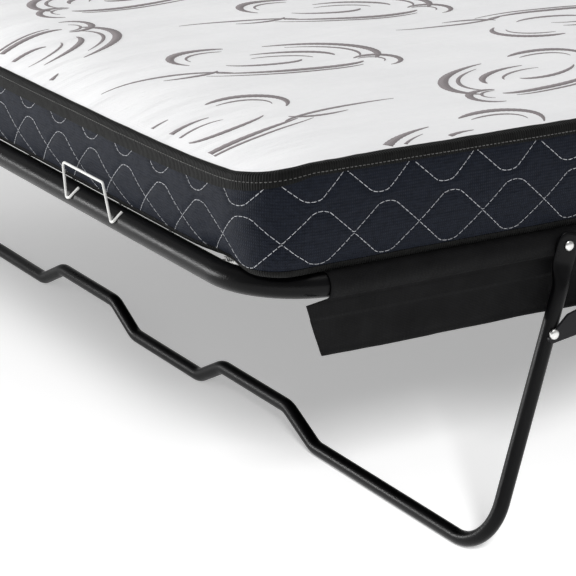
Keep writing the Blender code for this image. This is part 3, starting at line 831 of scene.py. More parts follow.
def simulated_moves(steps=20):
    """How far the cloth under pressure moves each point of the coarse top, border and base."""
    top, border, base = cover_shape(1)
    cloth_piece = cover_mesh(top, border, base, "filling_trial", base_cloth)
    held = cloth_piece.vertex_groups.new(name="held")
    count = top.shape[0] * top.shape[1]
    edge = around(np.arange(count).reshape(top.shape[:2]))
    held.add([int(v) for v in edge] + list(range(count, 2 * count)), 1.0, "ADD")
    cloth = cloth_piece.modifiers.new("cloth", "CLOTH")
    cloth.settings.quality = 4
    cloth.settings.mass = 0.3
    cloth.settings.tension_stiffness = 12
    cloth.settings.compression_stiffness = 12
    cloth.settings.shear_stiffness = 5
    cloth.settings.bending_stiffness = 0.6
    cloth.settings.use_pressure = True
    cloth.settings.uniform_pressure_force = 4
    cloth.settings.effector_weights.gravity = 0
    cloth.settings.vertex_group_mass = "held"
    cloth.point_cache.frame_start, cloth.point_cache.frame_end = 1, steps
    for step in range(1, steps + 1):
        bpy.context.scene.frame_set(step)
    evaluated = cloth_piece.evaluated_get(bpy.context.evaluated_depsgraph_get())
    after = np.empty(len(evaluated.data.vertices) * 3, np.float32)
    evaluated.data.vertices.foreach_get("co", after)
    before = np.concatenate([top.reshape(-1, 3), base.reshape(-1, 3), border[:, 1:-1].reshape(-1, 3)])
    moves = after.reshape(-1, 3).astype(float) - before
    size = np.linalg.norm(moves, axis=1, keepdims=True)
    moves *= PUFF_LIMIT * np.tanh(size / PUFF_LIMIT) / np.maximum(size, 1e-9)
    bpy.data.objects.remove(cloth_piece, do_unlink=True)
    bpy.context.scene.frame_set(1)
    border_moves = np.zeros(border.shape)
    border_moves[:, 1:-1] = moves[2 * count:].reshape(border.shape[0], -1, 3)
    return moves[:count].reshape(top.shape), border_moves, float(size.max())


def doubled(values, closed=False):
    """Twice as many values along the first axis, with cubic midpoints."""
    if closed:
        ends = np.concatenate([values[-1:], values, values[:2]])
    else:
        ends = np.concatenate([2 * values[:1] - values[1:2], values, 2 * values[-1:] - values[-2:-1]])
    middles = (9 * (ends[1:-2] + ends[2:-1]) - ends[:-3] - ends[3:]) / 16
    count = len(values)
    made = np.empty((2 * count if closed else 2 * count - 1,) + values.shape[1:])
    made[0::2] = values
    made[1::2] = middles
    return made


top_moves, border_moves, furthest = simulated_moves()
top_shape += doubled(doubled(top_moves).swapaxes(0, 1)).swapaxes(0, 1)
border_shape += doubled(border_moves, closed=True)
print(
    "cover filled; the furthest free move was",
    round(furthest * 1000, 1),
    "mm, held to",
    PUFF_LIMIT * 1000,
)

# %% [markdown]
# ## Creases
# Sewing tape round a stretched panel gathers it, so short creases run in from every edge and fade within a
# few centimetres. Where the base tape turns the corner, the border is bunched. Long shallow waves keep the
# big top from looking like a board. All of these come from smooth noise at fixed places, so they are the
# same each time.

# %% Creases in the cover
def ripple(*place):
    """Smooth noise between about -0.5 and 0.5, the same each time."""
    return noise.noise(Vector(place))


def add_creases(top, border):
    """Move the top up and down and the border in and out, by noise that depends on where each point is."""
    run, outward, _, _ = edge_facts(2)
    long, wide = top.shape[:2]
    to_side = mattress_y - abs(top[:, :, 1])
    to_end = mattress_x - abs(top[:, :, 0])
    to_edge = np.minimum(to_side, to_end)
    for i in range(long):
        for j in range(wide):
            x, y, _ = top[i, j]
            fade = min(1.0, to_edge[i, j] / 0.03)
            wave = 0.0013 * ripple(x * 7, y * 3.1, 1.7) + 0.0007 * ripple(
                x * 16 + y * 9, y * 11 - x * 5, 4.1
            )
            along = x if to_side[i, j] < to_end[i, j] else y
            gather = 0.0016 * ripple(along * 46, 9.3, 0.5) * exp(-to_edge[i, j] / 0.028)
            top[i, j, 2] += wave * fade + gather * min(1.0, to_edge[i, j] / 0.008)
    half = len(run) // 2
    for k in range(len(run)):
        turn = k // half
        for r in range(1, border.shape[1] - 1):
            row = BORDER_ROWS[r]
            pucker = ripple(run[k] * 38, 2.2 + turn, 0.7) * (
                exp(-(1 - row) / 0.10) + 0.8 * exp(-row / 0.12)
            )
            wave = ripple(run[k] * 9, row * 2.0, 5.5 + turn)
            bunch = exp(-(((run[k] + 0.085) / 0.045) ** 2)) * exp(-row / 0.30) * ripple(
                run[k] * 75, row * 3, 8.0
            )
            border[k, r, :2] += outward[k] * (
                0.0011 * pucker + 0.0012 * wave * 4 * row * (1 - row) + 0.0030 * bunch
            )


add_creases(top_shape, border_shape)
upper_edge = around(np.arange(top_shape.shape[0] * top_shape.shape[1]).reshape(top_shape.shape[:2]))
border_shape[:, -1] = top_shape.reshape(-1, 3)[upper_edge]
cover_finishes = [knit, border_mesh, base_cloth]
covers = {}
for end in ENDS:
    covers[end] = cover_mesh(
        top_shape, border_shape, base_shape, f"{end}_mattress_cover", cover_finishes, end
    )
print("cover pieces:", [len(piece.data.vertices) for piece in covers.values()])

# %% [markdown]
# ## Tape over both edges
# A folded tape covers each seam. It lies on the panel for a few millimetres, turns over the edge and runs
# down the border, further at the ends than at the sides. The tape is one closed strip for each half: an
# outer skin a little over the cloth, and an inner skin just under it, joined along both hems.

# %% Tape
cover_tree = {
    end: BVHTree.FromObject(piece, bpy.context.evaluated_depsgraph_get()) for end, piece in covers.items()
}
half_count = len(edge_run) // 2
STARTS = {"foot": 0, "head": half_count}


def panel_height(end, x, y, above, fallback):
    """The height of the top panel under a point, or of the base over it."""
    origin = Vector((x, y, rail_z + (0.3 if above else -0.3)))
    found = cover_tree[end].ray_cast(origin, Vector((0, 0, -1 if above else 1)))[0]
    return found.z if found else fallback


def edge_profile(end, k, at_top, over, down):
    """Points over an edge of the cover: 5 on the panel's side, one on the edge, 5 on the border."""
    column = border_shape[(STARTS[end] + k) % len(edge_run)]
    outward = Vector((*edge_outward[(STARTS[end] + k) % len(edge_run)], 0))
    column = [Vector(p) for p in (column[::-1] if at_top else column)]
    edge = column[0]
    profile = []
    for part in (1.0, 0.75, 0.5, 0.3, 0.12):
        spot = edge - outward * (over * part)
        spot.z = panel_height(end, spot.x, spot.y, at_top, edge.z)
        profile.append(spot)
    profile.append(edge.copy())
    for part in (0.08, 0.25, 0.5, 0.75, 1.0):
        depth = down * part
        for a, b in zip(column, column[1:]):
            if abs(b.z - edge.z) >= depth:
                share = (depth - abs(a.z - edge.z)) / (abs(b.z - edge.z) - abs(a.z - edge.z))
                profile.append(a.lerp(b, share))
                break
    return profile, outward


def tape_section(profile, outward, thick, lift):
    """A closed ring of points round the profile: out along the outer skin and back along the inner one."""
    outer, inner = [], []
    for k, spot in enumerate(profile):
        ahead = (profile[min(k + 1, len(profile) - 1)] - profile[max(k - 1, 0)]).normalized()
        away = ahead.cross(Vector((0, 0, 1)).cross(outward)).normalized()
        if away.dot(outward + Vector((0, 0, lift))) < 0:
            away = -away
        outer.append(spot + away * thick[k])
        inner.append(spot - away * 0.0006)
    return outer + inner[::-1]


def tape_piece(end, at_top):
    """One half's tape along its top or base edge."""
    shape = Shape()
    rings, ring_run = [], []
    for k in range(half_count + 1):
        run = half_run[k]
        endness = edge_endness[(STARTS[end] + k) % len(edge_run)]
        if at_top:
            over, down = 0.0085 - 0.0055 * endness, 0.0095 + 0.0070 * endness
        else:
            over, down = 0.0080, 0.0062 - 0.0020 * endness
        profile, outward = edge_profile(end, k, at_top, over, down)
        lump = 0.0004 * ripple(run * 55, 3.3, 0.4) + (0.0002 * ripple(run * 160, 1.2, 7.7))
        bunch = 0 if at_top else 0.0022 * exp(-(((run + 0.088) / 0.035) ** 2)) * abs(
            ripple(run * 90, 5.1, 2.2)
        )
        thick = [0.0008, 0.0012, 0.0013, 0.0014, 0.0015, 0.0012, 0.0015, 0.0015, 0.0014, 0.0012, 0.0007]
        if not at_top:
            thick[:6] = [0.0014, 0.0018, 0.0019, 0.0019, 0.0019, 0.0015]
            lump, bunch = lump * 0.3, bunch * 0.5
        thick = [t + lump * (0.4 + (0 < j < 10)) + bunch * (j > 5) for j, t in enumerate(thick)]
        rings.append(tape_section(profile, outward, thick, 1.0 if at_top else -1.0))
        ring_run += [run] * len(rings[-1])
    shape.rings(rings)
    name = f"{end}_{'top' if at_top else 'base'}_tape"
    return shape.piece(name, tape, values={"run": ring_run}, sharp=60)


tapes = {}
for end in ENDS:
    for at_top in (True, False):
        piece = tape_piece(end, at_top)
        tapes[piece.name] = piece
print("tapes:", {name: len(piece.data.vertices) for name, piece in tapes.items()})

# %% [markdown]
# ## Stitching
# Threads are short closed bars laid along a path, with gaps where the thread dives into the cloth. On the
# border they follow the chain pattern; on the tape one row follows the edge. The bars are four-sided, as
# they are under a millimetre thick.

# %% Threads
THREAD_STEP = 0.0022
SEAM_STEP = 0.0035
LOWEST_THREAD = 0.012
TAPE_HEM = 0.1095
TAPE_HEM_DROP = 0.0255
INTO_CLOTH = 0.4


def on_border(end, run, height):
    """The border's point at a run from the corner and a height over the rail, and its outward way."""
    place = float(np.interp(-run, -half_run, np.arange(half_count + 1)))
    k = min(int(place), half_count - 1)
    share = place - k
    first, second = (STARTS[end] + k) % len(edge_run), (STARTS[end] + k + 1) % len(edge_run)
    column = border_shape[first] * (1 - share) + border_shape[second] * share
    level = rail_z + height
    spot = Vector([float(np.interp(level, column[:, 2], column[:, axis])) for axis in range(3)])
    outward = Vector((*(edge_outward[first] * (1 - share) + edge_outward[second] * share), 0)).normalized()
    return spot, outward


def sew(shape, path, outward, dash, gap, radius, lift):
    """Lay bars along a path, each bent to it by its own points."""
    walked = [0.0]
    for a, b in zip(path, path[1:]):
        walked.append(walked[-1] + (b - a).length)
    lifted = [spot + away * lift for spot, away in zip(path, outward)]
    coordinates = np.array([p[:] for p in lifted])
    begin = 0.0
    while begin + dash < walked[-1]:
        along = [begin, begin + dash * 0.15, begin + dash * 0.5, begin + dash * 0.85, begin + dash]
        bar = [
            Vector([float(np.interp(s, walked, coordinates[:, axis])) for axis in range(3)]) for s in along
        ]
        normal = outward[int(np.searchsorted(walked, begin + dash / 2)) - 1]
        bar[0] -= normal * (lift + radius * INTO_CLOTH)
        bar[-1] -= normal * (lift + radius * INTO_CLOTH)
        shape.rings(tube_rings(bar, radius, 4, normal))
        begin += dash + gap


def strand_runs(end, middle_cells, way, shift):
    """Stretches of one strand of the chain that are in sight between the two tapes."""
    stretches, spots, aways = [], [], []
    for run in np.arange(half_run[0], half_run[-1], -THREAD_STEP):
        endness = float(np.interp(-run, -half_run, edge_endness[:half_count + 1]))
        cell = float(chain_cell(run)) + shift
        tier = middle_cells + way * chain_height(cell)
        reach = CHAIN_REACH - END_CHAIN_SMALLER * endness
        height = CHAIN_MIDDLE - END_CHAIN_LOWER * endness + tier * reach
        if LOWEST_THREAD < height < TAPE_HEM - TAPE_HEM_DROP * endness:
            spot, away = on_border(end, run, height)
            spots.append(spot)
            aways.append(away)
        elif spots:
            stretches.append((spots, aways))
            spots, aways = [], []
    return stretches + ([(spots, aways)] if spots else [])


threads = {}
for end in ENDS:
    shape = Shape()
    for middle_cells, way, shift in ((0, 1, 0), (0, -1, 0), (UPPER_CHAIN, -1, UPPER_SHIFT)):
        for spots, aways in strand_runs(end, middle_cells, way, shift):
            if len(spots) > 3:
                sew(shape, spots, aways, dash=0.0050, gap=0.0014, radius=0.00034, lift=0.00032)
    threads[f"{end}_border_stitching"] = shape.piece(f"{end}_border_stitching", thread, sharp=None)

    seam = Shape()
    spots, aways = [], []
    for run in np.arange(half_run[0], half_run[-1], -SEAM_STEP):
        endness = float(np.interp(-run, -half_run, edge_endness[:half_count + 1]))
        spot, away = on_border(end, run, SIDE_TOP - rail_z - END_DROP * endness - 0.0062 + 0.0012 * endness)
        spots.append(spot)
        aways.append(away)
    sew(seam, spots, aways, dash=0.0028, gap=0.0016, radius=0.00040, lift=0.0018)
    threads[f"{end}_tape_stitching"] = seam.piece(f"{end}_tape_stitching", dark_thread, sharp=None)
print("threads:", {name: len(piece.data.vertices) for name, piece in threads.items()})

# %% [markdown]
# ## The woven flourish
# The grey pattern on the top is drawn with arcs: each is part of an oval, thick in the middle and thin at
# its tips, like a pen stroke. One motif of 13 strokes repeats on a half-drop grid, turned and mirrored
# from place to place. Each stroke is a very thin closed ribbon laid on the cloth by dropping a line onto it
# at every station.

# %% Flourishes
FLOURISH = (
    ((-14, 2), (96, 60), (205, 82), 10.0),
    ((-8, 3), (83, 48), (196, 100), 4.2),
    ((56, 24), (54, 38), (104, -42), 9.5),
    ((52, 23), (41, 26), (96, -20), 3.6),
    ((-6, 0), (58, 30), (176, 60), 7.0),
    ((-2, -4), (38, 18), (168, 40), 3.2),
    ((20, -6), (44, 17), (186, 335), 6.0),
    ((6, -28), (92, 26), (192, 322), 8.0),
    ((10, -37), (98, 27), (204, 326), 3.6),
    ((138, -52), (80, 18), (165, 40), 4.4),
    ((120, -30), (46, 20), (190, 290), 5.0),
    ((-98, -34), (26, 24), (40, 250), 7.5),
    ((-92, -32), (16, 14), (50, 220), 3.0),
)
MOTIF_STEP = (0.190, 0.370)
MOTIF_COLUMNS = 6
MOTIF_ROWS = 5
MOTIF_START = (-0.905, -0.850)
STATION = 0.0030
HEM_CLEAR = 0.013
HALF_GAP = 0.002


def stroke_stations(stroke):
    """Left and right points of one stroke's stations, in the motif's own plane."""
    (cx, cy), (rx, ry), (start, stop), widest = stroke
    length = (rx + ry) / 2000 * abs(radians(stop - start))
    count = max(6, ceil(length / STATION))
    stations = []
    for k in range(count + 1):
        t = k / count
        turn = radians(start + (stop - start) * t)
        across = Vector((cos(turn) / rx, sin(turn) / ry)).normalized()
        half_wide = widest / 2 * (0.10 + 0.90 * sin(pi * t ** 0.8) ** 0.8) * (1 + 0.16 * (k % 2))
        spot = Vector((cx + rx * cos(turn), cy + ry * sin(turn)))
        stations.append((spot - across * half_wide, spot + across * half_wide))
    return stations


def lay_stroke(shape, end, stations, place, turn, mirror):
    """Drop one stroke's stations onto the top panel and join them, short of the tape and the middle."""
    rings = []
    for pair in stations + [None]:
        corners = []
        for spot in pair or ():
            x, y = spot.x / 1000, spot.y / 1000 * mirror
            x, y = place[0] + x * cos(turn) - y * sin(turn), place[1] + x * sin(turn) + y * cos(turn)
            inside = HALF_GAP < abs(x) < mattress_x - HEM_CLEAR and x * ENDS[end] > 0
            inside = inside and abs(y) < mattress_y - HEM_CLEAR
            rounded = hypot(
                max(0, abs(x) - mattress_x + TOP_CORNER), max(0, abs(y) - mattress_y + TOP_CORNER)
            )
            found = cover_tree[end].ray_cast(Vector((x, y, rail_z + 0.3)), Vector((0, 0, -1)))[0]
            if inside and rounded < TOP_CORNER - HEM_CLEAR and found:
                corners.append(found)
        if len(corners) == 2:
            up, down = Vector((0, 0, 0.00025)), Vector((0, 0, -0.0005))
            rings.append([corners[0] + up, corners[1] + up, corners[1] + down, corners[0] + down])
            continue
        if len(rings) > 2:
            shape.rings(rings)
        rings = []


def flourish_piece(end):
    """All of one half's motifs, on a grid of columns whose every second one is shifted by half a step."""
    shape = Shape()
    for column in range(MOTIF_COLUMNS):
        for row in range(MOTIF_ROWS):
            x = MOTIF_START[0] + column * MOTIF_STEP[0]
            y = MOTIF_START[1] + (row + 0.5 * (column % 2)) * MOTIF_STEP[1]
            way = ENDS[end] * -1
            turn = radians(-14 + 10 * ((column * 3 + row * 2) % 5)) + (0 if (column + row) % 2 else pi)
            mirror = 1 if (column + 2 * row) % 3 else -1
            turn += 0 if way > 0 else pi
            for stroke in FLOURISH:
                lay_stroke(shape, end, stroke_stations(stroke), (x * way, y * way), turn, mirror)
    return shape.piece(f"{end}_woven_flourish", print_ink, sharp=None)


flourishes = {f"{end}_woven_flourish": flourish_piece(end) for end in ENDS}
print("flourishes:", {name: len(piece.data.vertices) for name, piece in flourishes.items()})

# %% [markdown]
# ## Tubes of the deck frames
# Each deck is one tube bent into a U, open at its hinge ends. The outside is a row of rings along the path,
# and at each mouth the rings turn in and go back down the bore, so the wall shows its thickness. Corners
# are bent in fine steps, because their long highlight shows every flat.

# %% Deck frames
FRAME_END = 0.124
RAIL_CORNER = 0.085
WALL = 0.0013
BORE = 0.035


def open_tube(path, radius, sides=32, first_normal=(0, 0, 1)):
    """Rings along a tube whose two mouths are open for a little way."""
    path = [Vector(p) for p in path]
    head, tail = (path[1] - path[0]).normalized(), (path[-1] - path[-2]).normalized()
    soft = 0.0007
    outside = [path[0] + head * soft] + path[1:-1] + [path[-1] - tail * soft]
    rings = []
    for end_point, way in ((path[0], head), (path[-1], -tail)):
        inside = [end_point + way * BORE, end_point + way * soft, end_point + way * 0.0001]
        radii = [radius - WALL, radius - WALL, radius - WALL + soft * 0.6]
        rim = [end_point, end_point + way * 0.0002]
        rings.append((inside + rim, radii + [radius - soft, radius - soft * 0.3]))
    spots = rings[0][0] + outside + rings[1][0][::-1]
    radii = rings[0][1] + [radius] * len(outside) + rings[1][1][::-1]
    made = []
    frames = framed(outside, first_normal)
    turns = [2 * pi * j / sides for j in range(sides)]
    for k, (spot, size) in enumerate(zip(spots, radii)):
        near = min(max(k - len(rings[0][0]), 0), len(outside) - 1)
        _, _, normal, across = frames[near]
        made.append([spot + (normal * cos(t) + across * sin(t)) * size for t in turns])
    return made


for end, way in ENDS.items():
    corners = [
        (way * FRAME_END, -rail_y, rail_z),
        (way * rail_x, -rail_y, rail_z),
        (way * rail_x, rail_y, rail_z),
        (way * FRAME_END, rail_y, rail_z),
    ]
    path = filleted(corners, [RAIL_CORNER, RAIL_CORNER], radians(3))
    shape = Shape()
    shape.rings(open_tube(path, RAIL_RADIUS))
    settle(shape.piece(f"{end}_deck_tube", black_coat), f"{end}_deck", "black_coat", f"{end}_deck_frame")
print("deck tubes made, corner radius", RAIL_CORNER)

# %% [markdown]
# ## Legs
# Each leg is one thinner tube. Its floor bar rises over two humps so that it can fold flat past the frame,
# and its two ends are pressed flat where they are riveted to the side rails. The section changes from a
# flat tab to a creased oval and then to the round tube, with its rings close together there.

# %% Legs
LEG_RADIUS = 0.008
LEG_OUT = 0.0228
TAB_OUT = 0.0174
FOOT_IN = 0.2435
LEG_LOW_Z = round(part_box("foot_leg")[0].z + LEG_RADIUS, 4)
LEG_RISE = 0.028
LEG_CORNER = 0.055
LEG_BEND = 0.035
HUMPS = ((0.343, 0), (0.285, LEG_RISE), (0.137, LEG_RISE), (0.083, 0))
TAB_STEPS = (
    (-0.0130, TAB_OUT, 0.0010, 0.0045),
    (-0.0122, TAB_OUT, 0.0020, 0.0068),
    (-0.0105, TAB_OUT, 0.0024, 0.0092),
    (-0.0075, TAB_OUT, 0.0024, 0.0112),
    (-0.0040, TAB_OUT, 0.0024, 0.0123),
    (0.0020, TAB_OUT, 0.0024, 0.0126),
    (0.0160, TAB_OUT, 0.0024, 0.0125),
    (0.0205, TAB_OUT + 0.0003, 0.0028, 0.0121),
    (0.0250, TAB_OUT + 0.0010, 0.0036, 0.0113),
    (0.0295, LEG_OUT - 0.0030, 0.0049, 0.0102),
    (0.0340, LEG_OUT - 0.0015, 0.0062, 0.0092),
    (0.0390, LEG_OUT - 0.0004, 0.0073, 0.0084),
    (0.0440, LEG_OUT, LEG_RADIUS, LEG_RADIUS),
)


def leg_rings(end, way, sides=36):
    """Rings of a leg, from one flattened tab to the other."""
    pivot = Vector((way * abs(leg_pivot.x), 0, leg_pivot.z))
    foot = Vector((way * (rail_x - FOOT_IN), 0, LEG_LOW_Z))
    down = (foot - pivot).normalized()
    half = [
        pivot + down * 0.060 + Vector((0, rail_y + LEG_OUT, 0)), foot + Vector((0, rail_y + LEG_OUT, 0))
    ]
    half += [Vector((foot.x, y, LEG_LOW_Z + rise)) for y, rise in HUMPS]
    corners = half + [Vector((p.x, -p.y, p.z)) for p in half[::-1]]
    path = filleted(corners, [LEG_CORNER] + [LEG_BEND] * 8 + [LEG_CORNER], radians(4))
    tab = [pivot + down * along + Vector((0, rail_y + out, 0)) for along, out, _, _ in TAB_STEPS]
    sizes = [(thick, wide) for _, _, thick, wide in TAB_STEPS]
    spots = tab + path + [Vector((p.x, -p.y, p.z)) for p in tab[::-1]]
    sizes = sizes + [(LEG_RADIUS, LEG_RADIUS)] * len(path) + sizes[::-1]
    rings = []
    for k, ((spot, ahead, normal, across), (thick, wide)) in enumerate(
        zip(framed(spots, (0, 1, 0)), sizes)
    ):
        squareness = 1 - min(1.0, thick / LEG_RADIUS)
        power = 1 - 0.55 * squareness
        side_way = 1 if k < len(tab) + len(path) / 2 else -1
        from_end = min(k, len(spots) - 1 - k)
        crease = 0.0016 * exp(-((from_end - 8.6) / 1.5) ** 2) if from_end < len(tab) else 0
        ring = []
        for j in range(sides):
            c, s = cos(2 * pi * j / sides), sin(2 * pi * j / sides)
            u = thick * abs(c) ** power * (1 if c > 0 else -1)
            v = wide * abs(s) ** (power if squareness > 0 else 1) * (1 if s > 0 else -1)
            u -= crease * side_way * exp(-(v / 0.0022) ** 2) * (1 if c * side_way > 0 else 0)
            ring.append(spot + normal * u + across * v)
        rings.append(ring)
    return rings


for end, way in ENDS.items():
    shape = Shape()
    shape.rings(leg_rings(end, way))
    settle(shape.piece(f"{end}_leg_tube", black_coat, sharp=50), f"{end}_leg", "black_coat", f"{end}_leg")
print("legs made, floor bar at", LEG_LOW_Z)

# %% [markdown]
# ## Retaining wires
# A white wire loop stands at each side of both ends to hold the mattress. Each end of the loop hooks in
# over the rail.

# %% Retaining wires
WIRE_RADIUS = 0.0014
WIRE_OUT = 0.0146
for end, way in ENDS.items():
    for side_name, side in SIDES.items():
        x = way * (rail_x + WIRE_OUT)
        stops = []
        for top_y, low_y, hook_y, tip_y, tip_z in (
            (0.3808, 0.3740, 0.3670, 0.3615, 0.0130), (0.2897, 0.2733, 0.2680, 0.2650, 0.0120)
        ):
            foot_y = rail_y - low_y
            tip = Vector((way * (rail_x + 0.0062), side * (rail_y - tip_y), rail_z + tip_z + 0.0005))
            bend = Vector((x, side * (rail_y - hook_y), rail_z + 0.0030))
            stops.append(
                [
                    tip,
                    bend,
                    Vector((x, side * foot_y, rail_z + 0.0008)),
                    Vector((x, side * (rail_y - top_y), rail_z + 0.0377)),
                ]
            )
        corners = stops[0] + stops[1][::-1]
        path = filleted(corners, [0.0025, 0.0024, 0.0045, 0.0045, 0.0024, 0.0025], radians(10))
        shape = Shape()
        shape.rings(tube_rings(path, WIRE_RADIUS, 14, (way, 0, 0)))
        node_name = f"{end}_retaining_wire_{side_name}"
        settle(shape.piece(f"{node_name}_loop", wire_coat), f"{end}_deck", "wire_coat", node_name)
print("retaining wires made")

# %% [markdown]
# ## Deck cloth
# The black cloth is pulled from side rail to side rail, wraps each rail from outside and hangs below it as
# a flap. Its section is a line of points across the bed, repeated at stations along it, with a second skin
# one cloth thickness inside. The flap has a doubled band above a seam, ripples below it, and a slanted
# front edge.

# %% Deck cloth
CLOTH_THICK = 0.0012
CLOTH_OUT = RAIL_RADIUS + 0.0015
CLOTH_FROM = 0.068
CLOTH_TO = hinge_x + 0.022
FLAP_DROP = 0.0675
SEAM_DROP = 0.0300
SAG = 0.0030


def cloth_section():
    """Across one side of the cloth, from the hem to the middle: how far out from the rail, and up."""
    drops = list(np.linspace(FLAP_DROP, SEAM_DROP + 0.0006, 15)) + [SEAM_DROP - 0.0004] + list(
        np.linspace(SEAM_DROP - 0.002, 0.0150, 5)
    )
    flap = [(0.0070 + 0.0022 * drop / FLAP_DROP, -drop) for drop in drops]
    turn = [(CLOTH_OUT * cos(radians(t)), CLOTH_OUT * sin(radians(t))) for t in range(-60, 91, 10)]
    flat = [(-rail_y * part, CLOTH_OUT) for part in (0.02, 0.05, 0.1, 0.2, 0.3, 0.4, 0.55, 0.7, 0.85)]
    return flap + turn + flat


def cloth_point(way, side, station, out, up):
    """One point of the cloth's outer skin, with its front edge, ripples and sag."""
    below = max(0.0, -up - 0.0125)
    hang = min(1.0, below / (FLAP_DROP - 0.0125))
    front = (CLOTH_FROM - 0.0020 if up > -0.0130 else 0.0420) + 0.0190 * hang
    back = rail_x - CLOTH_TO
    from_end = front + (back - front) * station
    x = rail_x - from_end
    ripple_in = 0.0
    if below > 0.002:
        loose = min(1.0, (below - 0.002) / 0.03)
        near_front = exp(-(from_end - front) / 0.016)
        wave = ripple(from_end * 21, below * 8, 3.0 + side) + 0.4 * ripple(from_end * 55, below * 30, 6.0)
        ripple_in = 0.0026 * loose * wave + 0.0024 * loose * near_front
        ripple_in += 0.0009 if -up > SEAM_DROP else 0.0
        hem = abs(-up - FLAP_DROP + 0.006)
        ripple_in += 0.0005 * exp(-((hem / 0.0012) ** 2))
        ripple_in += 0.0005 * exp(-(((from_end - front - 0.012) / 0.0012) ** 2))
    if out < -0.01:
        inner = min(1.0, (-out - 0.01) / 0.3)
        up -= SAG * sin(inner * pi / 2) * (1 - (2 * station - 1) ** 4) + 0.0004 * ripple(
            x * 12, out * 9, 1.0
        ) * inner
    return Vector((way * x, side * (rail_y + out - ripple_in), rail_z + up))


def cloth_piece(end, way, stations=64):
    """One deck's cloth as a closed sheet, and its flat width and length."""
    section = cloth_section()
    across = [(-1, out, up) for out, up in section] + [(1, out, up) for out, up in section[::-1]]
    grid = [
        [cloth_point(way, side, (k / stations) ** 1.25, out, up) for side, out, up in across]
        for k in range(stations + 1)
    ]
    spots = np.array([[p[:] for p in row] for row in grid])
    along = np.gradient(spots, axis=0)
    over = np.gradient(spots, axis=1)
    normal = np.cross(along, over)
    normal /= np.linalg.norm(normal, axis=2, keepdims=True)
    if normal[stations // 2, len(across) // 2, 2] < 0:
        normal = -normal
    inner = spots - normal * CLOTH_THICK
    rows, columns = spots.shape[:2]
    points = np.concatenate([spots.reshape(-1, 3), inner.reshape(-1, 3)])
    faces = []
    for i in range(rows - 1):
        for j in range(columns - 1):
            a, b = i * columns + j, (i + 1) * columns + j
            faces += [
                (a, b, b + 1, a + 1),
                (rows * columns + a, rows * columns + a + 1, rows * columns + b + 1, rows * columns + b),
            ]
    rim = list(range(columns)) + [i * columns + columns - 1 for i in range(1, rows)]
    rim += [(rows - 1) * columns + j for j in range(columns - 2, -1, -1)] + [
        i * columns for i in range(rows - 2, 0, -1)
    ]
    for a, b in zip(rim, rim[1:] + rim[:1]):
        faces.append((a, rows * columns + a, rows * columns + b, b))
    step = np.linalg.norm(np.diff(spots[stations // 2], axis=0), axis=1)
    walked = np.concatenate([[0], np.cumsum(step)])
    rise = np.tile(np.tile(walked, rows), 2)
    run = np.abs(points[:, 0])
    piece = new_piece(
        f"{end}_deck_cloth_sheet", points, faces, deck_weave, values={"run": run, "rise": rise}, sharp=None
    )
    length = float(spots[0, len(section), 0] - spots[-1, len(section), 0]) * way
    return piece, (abs(length), float(walked[-1]))


for end, way in ENDS.items():
    piece, flat = cloth_piece(end, way)
    settle(piece, f"{end}_deck", "deck_cloth", f"{end}_deck_cloth")
    print(piece.name, "flat", round(flat[0], 3), "x", round(flat[1], 3), "m")

# %% [markdown]
# ## Springs
# A rod runs through the hem of each cloth, and a row of coil springs pulls it to the end rail. A spring is
# one wire: a hook round the rod, close turns, and a hook over the rail. Short sleeves of cloth hold the rod
# between them.

# %% Springs and hem rods
SPRING_COUNT = 11
SPRING_REACH = 0.540
ROD_IN = 0.062
ROD_RADIUS = 0.0025
COIL_RADIUS = 0.0040
COIL_WIRE = 0.0006
TURNS = 15


def spring_path(way, y):
    """The wire of one spring, from its hook on the rod to its end at the rail."""
    rod = rail_x - ROD_IN
    rail_side = rail_x - RAIL_RADIUS - 0.0012
    first, last = rod + 0.009, rail_side - 0.007
    path = [
        Vector((way * (rod + 0.0034 * cos(radians(t))), y, rail_z + 0.0034 * sin(radians(t))))
        for t in range(-150, 31, 30)
    ]
    path.append(Vector((way * (first - 0.002), y, rail_z + 0.0024)))
    steps = TURNS * 12
    for k in range(steps + 1):
        turn = 2 * pi * k / 12
        swell = min(1.0, 0.5 + k / 14, 0.5 + (steps - k) / 14)
        x = first + (last - first) * k / steps
        path.append(
            Vector((way * x, y + COIL_RADIUS * swell * sin(turn), rail_z + COIL_RADIUS * swell * cos(turn)))
        )
    path += [Vector((way * (last + 0.003), y, rail_z + 0.0010)), Vector((way * rail_side, y, rail_z))]
    return path


for end, way in ENDS.items():
    shape = Shape()
    reach = rail_y - RAIL_RADIUS - 0.020
    rod_x = way * (rail_x - ROD_IN)
    shape.rings(tube_rings([(rod_x, -reach, rail_z), (rod_x, reach, rail_z)], ROD_RADIUS, 14))
    sleeves = Shape()
    places = [(2 * k / (SPRING_COUNT - 1) - 1) * SPRING_REACH for k in range(SPRING_COUNT)]
    for y in places:
        shape.rings(tube_rings(spring_path(way, y), COIL_WIRE, 6))
    for a, b in zip([-reach] + places, places + [reach]):
        stations = [a + 0.010 + (b - a - 0.020) * k / 8 for k in range(9)]
        radii = [0.0038 + 0.0003 * ripple(y * 60, 2.0, 5.0) for y in stations]
        sleeves.rings(tube_rings([(rod_x, y, rail_z) for y in stations], radii, 14))
        flap = [(rod_x + way * 0.001, rail_z + 0.0036), (rod_x - way * 0.0075, rail_z + CLOTH_OUT - 0.0014),
                (rod_x - way * 0.0075, rail_z + CLOTH_OUT - 0.0026), (rod_x + way * 0.001, rail_z + 0.0026)]
        sleeves.rings([[Vector((x, y, z)) for x, z in flap] for y in stations])
    settle(shape.piece(f"{end}_spring_row", zinc, sharp=None), f"{end}_deck", "zinc", f"{end}_deck_springs")
    values = {"run": [p.x for p in sleeves.points], "rise": [p.y for p in sleeves.points]}
    settle(sleeves.piece(f"{end}_hem_sleeves", deck_weave, values=values), f"{end}_deck", "deck_cloth")
